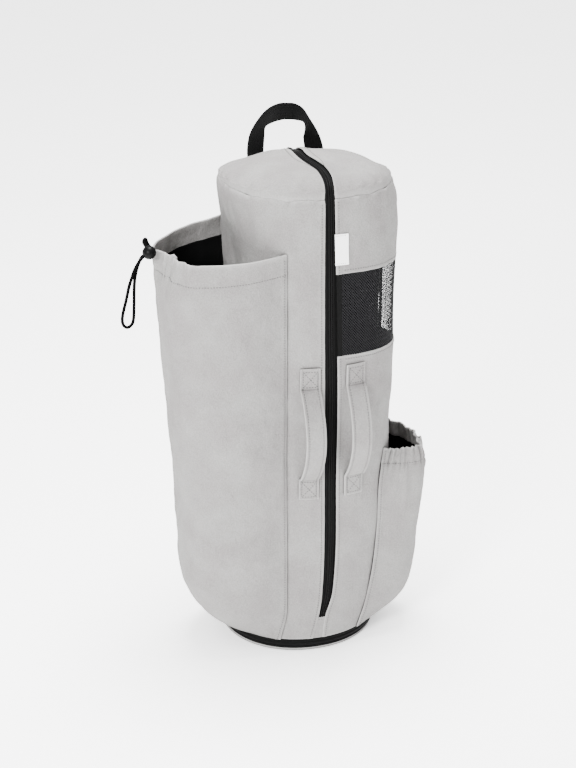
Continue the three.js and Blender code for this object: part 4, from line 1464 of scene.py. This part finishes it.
@dataclass
class Base:
    """Flat base board in canvas, the zip round its front and the plain band behind."""

    finishes: Finishes
    half_turn: float = 104.0
    slider_turn: float = 8.0
    slider_inset: float = 4 * MM
    slider_height: float = 1.6 * MM
    tape_cloth: float = 1.6 * MM

    def ring(self, start: float, end: float, columns: int, profile: Sequence[Sequence[float]]) -> Array:
        """Carry a profile of (distance out, height) in millimetres round the foot of the body.

        Args:
            start: First turn in degrees.
            end: Last turn in degrees.
            columns: Points round.
            profile: Corners of the profile.

        Returns:
            The grid of points.
        """
        line = spaced(np.array(profile, float) * MM, 24)
        turn, _ = np.meshgrid(np.linspace(start, end, columns), line[:, 0])
        out, z = line[:, :1] + 0 * turn, line[:, 1:] + 0 * turn
        return FORM.point(turn, z, out)

    def build(self) -> None:
        """Make the board, the zip band with its slider, and the hinge band."""
        profile = [(-60, 0), (-2.5, 0), (-0.8, 0.3), (0.1, 1.4), (0.2, 2.6), (-0.4, 3.9), (-2.2, 4.6)]
        profile.append((-60, BOARD / MM))
        rim = self.ring(0, 360, 241, profile)
        middle = np.zeros_like(rim[:1])
        low, high = middle.copy(), middle.copy()
        high[..., 2] = BOARD
        board = skin(np.concatenate([low, rim, high]))
        make_piece("board", board, [self.finishes.canvas], ["base_board"])

        ribs = [(-0.9, 5.2), (-0.2, 6.6), (-0.5, 8.2), (-1.3, 9.2), (-0.7, 10.4), (0.1, 12.2), (0.2, 14.2)]
        ribs += [(-0.6, 15.6), (-1.3, 16.6), (-0.6, 17.8), (-0.1, 19.6), (-0.7, 21.4), (-1.4, 22.4)]
        band = self.ring(-self.half_turn, self.half_turn, 320, ribs)
        tape = wall(band, self.tape_cloth)
        make_piece("base_zip_band", tape, [self.finishes.tape], ["base_zip"])

        start = self.half_turn + SIDE_GAP
        plain = [(-0.8, 5.1), (0.0, 7.0), (0.3, 12.0), (0.3, 17.0), (-0.1, 20.5), (-1.0, 22.5)]
        hinge = self.ring(start, 360 - start, 200, plain)
        seams = [stitched(hinge, [(0, level), (1, level)]) for level in (0.16, 0.84)]
        cloth = wall(hinge, CANVAS)
        sew_plain("base_hinge", "base_hinge_band", cloth, seams, self.finishes.sewn_canvas)

        u, v = shares(25, 17)
        low, high = BOARD + CLEAR + self.slider_inset, BAND_TOP - self.slider_inset
        z = mix(low, high, mix(0.5, v, 1 - 0.25 * bell((u - 0.3) / 0.5)))
        turn = mix(self.half_turn - self.slider_turn, self.half_turn, u)
        dome = 1.8 * MM * (1 - np.abs(2 * u - 1) ** 4) * (1 - np.abs(2 * v - 1) ** 4)
        points = FORM.point(turn, z, 2.0 * MM + dome)
        block = wall(points, self.slider_height)
        make_piece("base_slider", block, [self.finishes.enamel], ["base_zip_slider"])


@dataclass
class Pocket:
    """Bellied pocket sewn to the body along its sides and foot.

    Its face stands off the body's outline by a depth times a share from the side view times a
    share from the plan, which changes from the belly's to the rim's through the hem.
    """

    finishes: Finishes
    name: str
    node: str
    top: float
    depth: float
    seam: float
    back_turn: float
    hem: float
    sag: float
    crowding: float
    mirrored: bool
    plan: Table
    profile: Table
    seam_line: Table
    gather: Callable[[Array], Array]
    folds: Creases
    pleated: Callable[[Array], Array]
    pleat: float = 12 * MM
    pleat_depth: float = 4.2 * MM
    scallop: float = 2.2 * MM
    gather_depth: float = 2.6 * MM
    standoff: float = 0.6 * MM
    hem_cloth: float = 3.0 * MM
    hem_swell: float = 0.9 * MM
    hem_pull: float = 1.2 * MM
    ripple: float = 1.5 * MM
    crumple: float = 0.4 * MM
    pucker: float = 0.35 * MM
    side_fold: float = 0.6 * MM
    stitch_inset: float = 4.5 * MM
    columns: int = 190
    rows: int = 130
    seed: int = 21

    def grid(self) -> Array:
        """Face of the pocket, in the sense of growing turns and upwards.

        Returns:
            The grid of points.
        """
        u, v = shares(self.columns, self.rows)
        share = u if self.mirrored else 1 - u
        up = v**self.crowding
        foot = BAND_TOP + CLEAR
        z = foot + (self.top - foot - self.sag * np.sin(share * np.pi) * up) * up
        seam = FORM.turn_at(self.seam * self.seam_line.at("side", up), z)
        turn = mix(seam, self.back_turn, share)
        way = share if self.mirrored else 1 - share
        puckered = Ripple(self.seed + 4, self.pleat).at(way * 0.3, 0 * way) * self.pleated(way)
        z = z + self.scallop * puckered * v**14
        mouth = ease(self.top - self.hem * 2, self.top, z)
        plan = mix(self.plan.at("belly", way), self.plan.at("rim", way), mouth)
        out = self.depth * self.profile.at("out", up) * plan
        out = out + self.gather_depth * self.gather(way) * ease(self.top - self.hem * 3, self.top, z)
        points = FORM.outline(turn, z, self.standoff + CANVAS + np.maximum(0, out))
        return points + normals_of(points) * self.relief(points, way, z)[..., None]

    def relief(self, points: Array, way: Array, z: Array) -> Array:
        """Loose ripples, folds, the swollen hem and the line pulled in by its stitches.

        Args:
            points: Grid of the smooth pocket.
            way: Share of the way round, for each point.
            z: Height of each point in metres.

        Returns:
            The height of the relief in metres.
        """
        run = lengths_of(points)[..., 0]
        calm = ease(0, 0.03, np.minimum(way, 1 - way)) * ease(0, 40 * MM, z - BAND_TOP)
        loose = self.ripple * Ripple(self.seed, 90 * MM).at(run, z)
        loose = loose + self.crumple * Ripple(self.seed + 1, 26 * MM).at(run, z)
        below = self.top - self.sag * np.sin(way * np.pi) - z
        hem = self.hem_swell * bell((below - self.hem * 0.45) / (self.hem * 0.55))
        pulled = -self.hem_pull * np.exp(-(((below - self.hem) / (2.2 * MM)) ** 2))
        gathers = self.pleat_depth * np.abs(Ripple(self.seed + 3, self.pleat, 12.0, 8).at(run, z))
        gathers = gathers * self.pleated(way) * ease(self.hem * 2.6, 0, below)
        pucker = self.pucker * Ripple(self.seed + 2, 13 * MM).at(run, 0 * z)
        pucker = pucker * np.exp(-(((below - self.hem) / (8 * MM)) ** 2))
        side = self.side_fold * (1 - ease(7 * MM, 10 * MM, np.minimum(run - run[:, :1], run[:, -1:] - run)))
        rim_relief = (hem + pulled + pucker + gathers) * ease(0, 0.02, np.minimum(way, 1 - way))
        return (loose + self.folds.at(run, z)) * calm + rim_relief + side

    def build(self) -> None:
        """Make the pocket with its hem and side stitches."""
        points = self.grid()
        rows = np.linspace(0, 1, self.rows)
        hem_share = (1 - self.hem / (self.top - BAND_TOP)) ** (1 / self.crowding)
        thick = np.where(rows > hem_share, self.hem_cloth, CANVAS)[:, None] + np.zeros(points.shape[:2])
        width = np.linalg.norm(np.diff(points, axis=1), axis=-1).sum(axis=1)
        v = np.linspace(0.01, 0.995, 300)
        side = self.stitch_inset / np.interp(v, rows, width)
        lines = [stitched(points, [(0.0, hem_share), (1.0, hem_share)])]
        for share in (side, 1 - side):
            lines.append(Stitch().along(*on_grid(points, share, v)))
        # Inner faces get the near-black painted shade of the pocket's inside, except inside the hem, which
        # shows canvas.
        cloth = wall(points, thick, inner_shade=1)
        inner = cloth.finish[: 2 * (self.rows - 1) * (self.columns - 1)].reshape(2, self.rows - 1, -1)[1]
        inner[rows[1:] > hem_share] = 0
        below = ["left_wall", "base_hinge"]
        sew_with_inner_shade(self.finishes, self.name, self.node, points, cloth, lines, "gathered", below)


def block_pocket(finishes: Finishes) -> Pocket:
    """The tall left pocket, whose drawcord hem is gathered round its outer corner.

    Args:
        finishes: Finishes of the bag.

    Returns:
        The pocket, not built yet.
    """
    plan = Table(
        "turn rim belly",
        [
            (0, 0, 0), (0.09, 0.14, 0.2), (0.21, 0.44, 0.55), (0.33, 0.74, 0.84), (0.41, 0.94, 0.98),
            (0.46, 0.98, 1.02), (0.52, 0.87, 1.03), (0.6, 0.85, 1.04), (0.67, 0.84, 0.98),
            (0.75, 0.66, 0.78), (0.85, 0.38, 0.45), (0.93, 0.15, 0.18), (1, 0, 0),
        ],
    )
    profile = Table(
        "up out",
        [
            (0, 0), (0.012, 0.15), (0.035, 0.31), (0.06, 0.46), (0.09, 0.59), (0.13, 0.71), (0.2, 0.79),
            (0.32, 0.85), (0.47, 0.9), (0.62, 0.93), (0.87, 0.965), (1, 1),
        ],
    )
    wave = lambda way: bell((way - 0.58) / 0.14) * np.sin(way * 24 * np.pi)
    folds = Creases(
        [
            (-70, 680, -52, 600, 7, 2.2), (-58, 684, -36, 590, 6, -2.0), (-44, 686, -18, 580, 7, 1.8),
            (-84, 684, -86, 610, 6, -1.6), (60, 120, 175, 40, 12, -1.6), (20, 110, 140, 30, 10, 1.4),
            (120, 640, 60, 470, 16, 1.4), (20, 560, 90, 330, 20, -1.5), (150, 420, 110, 220, 18, 1.2),
        ]
    )
    seam_line = Table("up side", [(0, 1.2), (0.09, 1), (0.56, 0.98), (1, 1.02)])
    return Pocket(
        finishes,
        name="block_pocket_cloth",
        node="block_pocket",
        top=0.689,
        depth=0.112,
        seam=-0.048,
        back_turn=-128,
        hem=0.032,
        sag=0.008,
        crowding=1.6,
        mirrored=False,
        plan=plan,
        profile=profile,
        seam_line=seam_line,
        gather=wave,
        pleated=lambda way: bell((way - 0.57) / 0.17),
        folds=folds,
    )


def bottle_pocket(finishes: Finishes) -> Pocket:
    """The short right pocket, whose elastic hem is gathered all round.

    Args:
        finishes: Finishes of the bag.

    Returns:
        The pocket, not built yet.
    """
    plan = Table(
        "turn rim belly",
        [
            (0, 0, 0), (0.08, 0.14, 0.2), (0.2, 0.46, 0.6), (0.33, 0.74, 0.92), (0.46, 0.84, 1),
            (0.6, 0.8, 0.96), (0.74, 0.6, 0.74), (0.88, 0.26, 0.34), (1, 0, 0),
        ],
    )
    profile = Table(
        "up out",
        [
            (0, 0), (0.02, 0.2), (0.055, 0.4), (0.1, 0.58), (0.18, 0.7), (0.32, 0.8), (0.6, 0.93),
            (0.88, 1), (1, 1),
        ],
    )
    wave = lambda way: np.sin(way * np.pi) * np.sin(way * 16 * np.pi)
    folds = Creases(
        [
            (-70, 320, -62, 200, 6, 1.6), (-56, 316, -50, 220, 5, -1.5), (-38, 318, -36, 180, 6, 1.6),
            (-22, 316, -24, 230, 5, -1.4), (-8, 316, -10, 190, 6, 1.5), (10, 316, 4, 210, 5, -1.3),
            (24, 316, 20, 170, 6, 1.5), (-70, 100, -20, 40, 8, -1.4), (30, 110, -10, 40, 9, 1.2),
        ]
    )
    seam_line = Table("up side", [(0, 0.62), (0.2, 0.75), (0.36, 0.84), (0.58, 0.9), (0.8, 0.925), (1, 1)])
    return Pocket(
        finishes,
        name="bottle_pocket_cloth",
        node="bottle_pocket",
        top=0.334,
        depth=0.055,
        seam=0.116,
        back_turn=104,
        hem=0.024,
        sag=0.016,
        crowding=1.3,
        mirrored=True,
        plan=plan,
        profile=profile,
        seam_line=seam_line,
        gather=wave,
        pleated=lambda way: ease(0, 0.08, np.minimum(way, 1 - way)),
        folds=folds,
        columns=230,
        rows=90,
        seed=41,
    )


@dataclass
class CarryHandle:
    """Strap of folded canvas: flat sewn ends and a free stretch that bows out."""

    finishes: Finishes
    name: str
    middle: float
    width: float = 0.030
    top: float = 0.502
    length: float = 0.224
    patch: float = 0.033
    bow: float = 0.041
    bow_shape: float = 0.8
    lift: float = 6 * MM
    cloth: float = 3.0 * MM
    inset: float = 0.13
    edge_swell: float = 0.3 * MM
    edge_pull: float = 0.45 * MM

    def grid(self) -> Array:
        """Front of the strap: the body's face plus bow times sin^0.8 along the free stretch.

        Returns:
            The grid of points.
        """
        u, v = shares(33, 150)
        patch = self.patch / self.length
        z = self.top - self.length * (1 - v)
        x = self.middle + self.width * (u - 0.5)
        free = np.clip((v - patch) / (1 - 2 * patch), 0, 1)
        out = self.bow * np.sin(free * np.pi) ** self.bow_shape
        seat = FORM.point(FORM.turn_at(x, z), z)[..., 1]
        middle = FORM.point(FORM.turn_at(np.full_like(x, self.middle), z), z)[..., 1]
        y = mix(seat, middle, np.clip(out / self.lift, 0, 1))
        points = stacked(x, y - STRAP_CLEAR - self.cloth - out, z)
        edge = np.abs(2 * u - 1)
        swell = self.edge_swell * bell((edge - 0.93) / 0.1)
        pull = self.edge_pull * np.exp(-(((edge - 0.78) / 0.05) ** 2))
        return points + normals_of(points) * (swell - pull)[..., None]

    def build(self) -> None:
        """Make the strap with the stitches along its edges and the crossed boxes at its ends."""
        points = self.grid()
        edges = (self.inset, 1 - self.inset)
        lines = [stitched(points, [(share, 0.03), (share, 0.97)]) for share in edges]
        patch = self.patch / self.length
        for low, high in ((0.018, patch - 0.015), (1 - patch + 0.015, 0.982)):
            lines += crossed_box(points, self.inset, low, high)
        cloth = wall(points, self.cloth)
        sew_plain(f"{self.name}_strap", self.name, cloth, lines, self.finishes.sewn_canvas)


@dataclass
class GrabLoop:
    """Webbing loop at the top of the back, whose band turns on edge over its top."""

    finishes: Finishes
    width: float = 0.025
    span: float = 0.122
    middle: float = 0.012
    rise: float = 0.101
    patch: float = 0.030
    behind: float = 4 * MM
    lean: float = 4 * MM
    lift: float = 0.3
    cloth: float = 1.8 * MM
    rib: float = 0.18 * MM
    ribs: int = 6
    inset: float = 0.14
    line: Table = Table(
        "step outer outer_up inner inner_up",
        [
            (0, -1, 0, -0.6, 0), (0.13, -1, 0.21, -0.61, 0.25), (0.26, -0.92, 0.51, -0.6, 0.53),
            (0.34, -0.69, 0.73, -0.58, 0.7), (0.41, -0.42, 0.92, -0.38, 0.76),
            (0.46, -0.16, 1, -0.14, 0.78), (0.5, 0.02, 1, 0.02, 0.78), (0.56, 0.25, 0.98, 0.24, 0.76),
            (0.62, 0.48, 0.88, 0.4, 0.735), (0.68, 0.66, 0.71, 0.46, 0.66),
            (0.77, 0.86, 0.5, 0.47, 0.5), (0.88, 0.99, 0.25, 0.52, 0.25), (1, 1, 0, 0.57, 0),
        ],
    )

    def grid(self) -> Array:
        """Back of the band, from the inner to the outer edge and along it.

        Returns:
            The grid of points.
        """
        u, v = shares(21, 240)
        seam = FORM.height - FORM.cap_back_drop
        patch = self.patch / (2 * self.patch + 2 * self.rise + self.span / 2)
        step = np.clip((v - patch) / (1 - 2 * patch), 0, 1)
        below = (np.maximum(0, patch - v) + np.maximum(0, v - 1 + patch)) / patch
        at = {name: self.line.at(name, step) for name in self.line.names[1:]}
        out_x, in_x = (self.middle + self.span / 2 * at[name] for name in ("outer", "inner"))
        out_z, in_z = (self.rise * at[name] for name in ("outer_up", "inner_up"))
        apart = np.hypot(out_x - in_x, out_z - in_z)
        deep = np.sqrt(np.maximum(0, self.width**2 - apart**2)) / 2
        x, up = mix(in_x, out_x, u), mix(in_z, out_z, u)
        z = seam + up - self.patch * below
        seat_z = np.minimum(z, seam)
        seat = FORM.point(FORM.back_turn_at(x, seat_z), seat_z, STRAP_CLEAR + self.cloth)[..., 1]
        free = FORM.back_depth + self.behind + self.cloth - self.lean * up / self.rise
        y = mix(seat, free + mix(-deep, deep, u), ease(0, self.lift, up / self.rise))
        points = stacked(x, y, z)
        ribs = self.rib * np.cos(u * 2 * np.pi * self.ribs)
        return points + normals_of(points) * ribs[..., None]

    def build(self) -> None:
        """Make the band with its sewn ends."""
        points = self.grid()
        lines = []
        for low, high in ((0.012, 0.082), (0.918, 0.988)):
            lines += crossed_box(points, self.inset, low, high)
        finishes = [self.finishes.webbing, self.finishes.dark_thread]
        sew_plain("grab_loop", "top_loop", wall(points, self.cloth), lines, finishes)


@dataclass
class SideLabel:
    """Blank white ribbon sewn in at the right edge of the zip."""

    finishes: Finishes
    width: float = 0.020
    height: float = 0.049
    top: float = 0.718
    edge: float = -2 * MM
    cloth: float = 0.8 * MM
    lift: float = 1.9 * MM
    curl: float = 0.7 * MM

    def build(self) -> None:
        """Make the ribbon, a little curled, with a stitch row at each end."""
        u, v = shares(25, 50)
        z = self.top - self.height * (1 - v)
        x = FORM.zip_middle(z) + FORM.zip_half(z) + self.edge + self.width * u
        curl = self.curl * ease(0.4, 1, u) * (0.6 + 0.4 * np.cos(v * 7))
        points = FORM.point(FORM.turn_at(x, z), z, self.lift + curl)
        fine = Stitch(2.2 * MM, 1 * MM, 0.3 * MM)
        lines = [stitched(points, [(0.06, level), (0.94, level)], fine) for level in (0.05, 0.95)]
        finishes = [self.finishes.satin, self.finishes.pale_thread]
        sew_plain("ribbon_label", "side_label", wall(points, self.cloth), lines, finishes)


@dataclass
class DrawCord:
    """Elastic cord of the block pocket: out of the hem, through a round stop and round a loop."""

    finishes: Finishes
    diameter: float = 5.0 * MM
    stop: tuple = (-0.241, -0.052, 0.684)
    radius: float = 10.5 * MM
    recess: float = 3.6 * MM
    recess_depth: float = 3.0 * MM
    lead: tuple = (
        (-0.2271, -0.0134, 0.6755), (-0.231, -0.012, 0.6765), (-0.2355, -0.011, 0.683),
        (-0.238, -0.013, 0.6905), (-0.2415, -0.019, 0.6928), (-0.2445, -0.028, 0.692),
        (-0.2439, -0.036, 0.6902), (-0.243, -0.0397, 0.6888), (-0.2426, -0.042, 0.6879),
    )
    loop: tuple = (
        (-0.2504, -0.0547, 0.6792), (-0.2528, -0.0551, 0.6776), (-0.258, -0.0528, 0.6695),
        (-0.264, -0.049, 0.656), (-0.2685, -0.048, 0.643), (-0.2725, -0.047, 0.63),
        (-0.2775, -0.046, 0.608), (-0.283, -0.045, 0.586), (-0.284, -0.045, 0.574),
        (-0.2815, -0.045, 0.567), (-0.2765, -0.045, 0.564), (-0.2705, -0.045, 0.5675),
        (-0.267, -0.045, 0.576), (-0.2653, -0.045, 0.6), (-0.2643, -0.0445, 0.624),
        (-0.2625, -0.0445, 0.642), (-0.259, -0.044, 0.657), (-0.2548, -0.045, 0.669),
        (-0.2513, -0.0474, 0.6766), (-0.2494, -0.0483, 0.6782),
    )

    def strand(self, name: str, route: Sequence, count: int, node: str) -> tuple[Piece, Array]:
        """One stretch of cord as a round tube along its route.

        Args:
            name: Name of the piece.
            route: Points to pass through.
            count: Steps along the cord.
            node: CAD node that it replaces.

        Returns:
            The piece and the path of its middle line.
        """
        path = smooth_path(route, count)
        facing = np.broadcast_to(np.array([0.15, -1.0, 0.1]), path.shape)
        shape = tube(path[None], facing[None], self.diameter / 2, 16)
        return make_piece(name, shape, [self.finishes.cord], [node]), path

    def build(self) -> None:
        stop = self.add_stop()
        for name, route, count, node, end, near in (
            ("cord_lead", self.lead, 40, "draw_cord_lead", "fitting", [stop]),
            ("cord_loop", self.loop, 150, "draw_cord_loop", "object", []),
        ):
            piece, path = self.strand(name, route, count, node)

    def add_stop(self) -> Piece:
        """Round stop: a ball's profile turned about -Z, with a rounded recess and a button in it.

        Returns:
            The piece.
        """
        rim = math.acos(self.recess / self.radius)
        angles = np.linspace(-math.pi / 2, rim, 40)
        ball = [(self.radius * math.cos(a), self.radius * math.sin(a)) for a in angles]
        floor = self.radius * math.sin(rim) - self.recess_depth
        lip = [(self.recess - 0.3 * MM, ball[-1][1] - 0.2 * MM), (self.recess - 0.5 * MM, floor + 0.3 * MM)]
        heights = ((0.8, 0.0), (0.75, 1.4 * MM), (0.4, 1.9 * MM))
        button = [(self.recess * share, floor + up) for share, up in heights]
        profile = np.array([*ball, *lip, *button, (0.0, floor + 2.0 * MM)])
        angle, _ = np.meshgrid(np.linspace(0, 2 * np.pi, 41), profile[:, 0])
        out, up = profile[:, :1], profile[:, 1:]
        local = stacked(out * np.cos(angle), out * np.sin(angle), up + 0 * angle)
        points = np.array(self.stop) + local * np.array([1, -1, -1])
        return make_piece("stop_ball", skin(points), [self.finishes.nylon], ["cord_stop"], 50)


@dataclass
class Studio:
    """Pale floor, soft lights and the camera of the photograph."""

    azimuth: float = -15.0
    elevation: float = 24.6
    distance: float = 3.183
    target: tuple = (-0.0135, 0.0, 0.4191)
    lens: float = 93.75
    aim: tuple = (0.0, 0.0, 0.4)
    sweep: float = 8.0
    under: float = 0.5 * MM
    glow: float = 2.6
    haze: float = 1.0
    lights: tuple = (("key", (-1.9, -2.2, 2.0), 0.9, 210), ("top", (0.1, 0.3, 2.9), 1.2, 230))

    def camera(self) -> None:
        """Place the camera at a distance from its target, along azimuth and elevation."""
        a, e = math.radians(self.azimuth), math.radians(self.elevation)
        back = Vector((math.sin(a) * math.cos(e), -math.cos(a) * math.cos(e), math.sin(e)))
        data = bpy.data.cameras.new("camera")
        data.lens, data.sensor_width = self.lens, 36.0
        data.clip_start, data.clip_end = 0.1, 50.0
        holder = bpy.data.objects.new("camera", data)
        holder.rotation_mode = "QUATERNION"
        holder.location = Vector(self.target) + back * self.distance
        holder.rotation_quaternion = (-back).to_track_quat("-Z", "Y")
        bpy.context.collection.objects.link(holder)
        bpy.context.scene.camera = holder

    def area(self, name: str, place: tuple, size: float, power: float) -> None:
        """One square soft light that looks at the bag.

        Args:
            name: Name of the lamp.
            place: Where it hangs in metres.
            size: Width of its square in metres.
            power: Its power in watts.
        """
        data = bpy.data.lights.new(name, "AREA")
        data.size, data.energy = size, power
        lamp = bpy.data.objects.new(name, data)
        lamp.rotation_mode = "QUATERNION"
        lamp.location = place
        lamp.rotation_quaternion = (Vector(self.aim) - Vector(place)).to_track_quat("-Z", "Y")
        bpy.context.collection.objects.link(lamp)

    def build(self) -> None:
        """Make the floor, which glows as if lit from below and whose glow is dimmed near the bag as a
        painted contact shadow, the world and the lights.
        """
        ring = np.linspace(0, 2 * np.pi, 65)[:-1]
        corners = [(self.sweep * math.cos(a), self.sweep * math.sin(a), -self.under) for a in ring]
        mesh = bpy.data.meshes.new("floor")
        mesh.from_pydata(corners, [], [list(range(len(corners)))])
        made, tree, shader = new_material("white sweep, lit from below", Roughness=0.9)
        colour = blend(tree, noise(tree, 0.4, 2), linear("#fbfbfb"), linear("#ffffff"))
        tree.links.new(colour, shader.inputs["Base Color"])
        # Ambient occlusion dims the floor's glow near the bag: a painted contact shadow.
        near = add_node(tree, "ShaderNodeAmbientOcclusion", {"Distance": 0.3}, samples=8)
        glow = add_node(tree, "ShaderNodeMath", {0: near.outputs["AO"], 1: self.glow}, operation="MULTIPLY")
        tree.links.new(colour, shader.inputs["Emission Color"])
        tree.links.new(glow.outputs[0], shader.inputs["Emission Strength"])
        mesh.materials.append(made)
        floor = bpy.data.objects.new("floor", mesh)
        bpy.context.collection.objects.link(floor)
        world = bpy.data.worlds.new("studio")
        world.use_nodes = True
        background = world.node_tree.nodes["Background"]
        background.inputs["Color"].default_value = linear("#ffffff")
        background.inputs["Strength"].default_value = self.haze
        bpy.context.scene.world = world
        for light in self.lights:
            self.area(*light)


def main() -> None:
    """Build the bag piece by piece."""
    logging.basicConfig(level=logging.INFO, format="%(message)s")
    studio = Studio()
    studio.camera()
    finishes = Finishes()
    DrawCord(finishes).build()
    panels = BodyPanels(finishes)
    panels.build()
    NetWindow(finishes, panels).build()
    Cap(finishes).build()
    MainZip(finishes).build()
    Base(finishes).build()
    block_pocket(finishes).build()
    bottle_pocket(finishes).build()
    CarryHandle(finishes, "handle_left", -0.014).build()
    CarryHandle(finishes, "handle_right", 0.059).build()
    GrabLoop(finishes).build()
    SideLabel(finishes).build()
    studio.build()


if __name__ == "__main__":
    main()
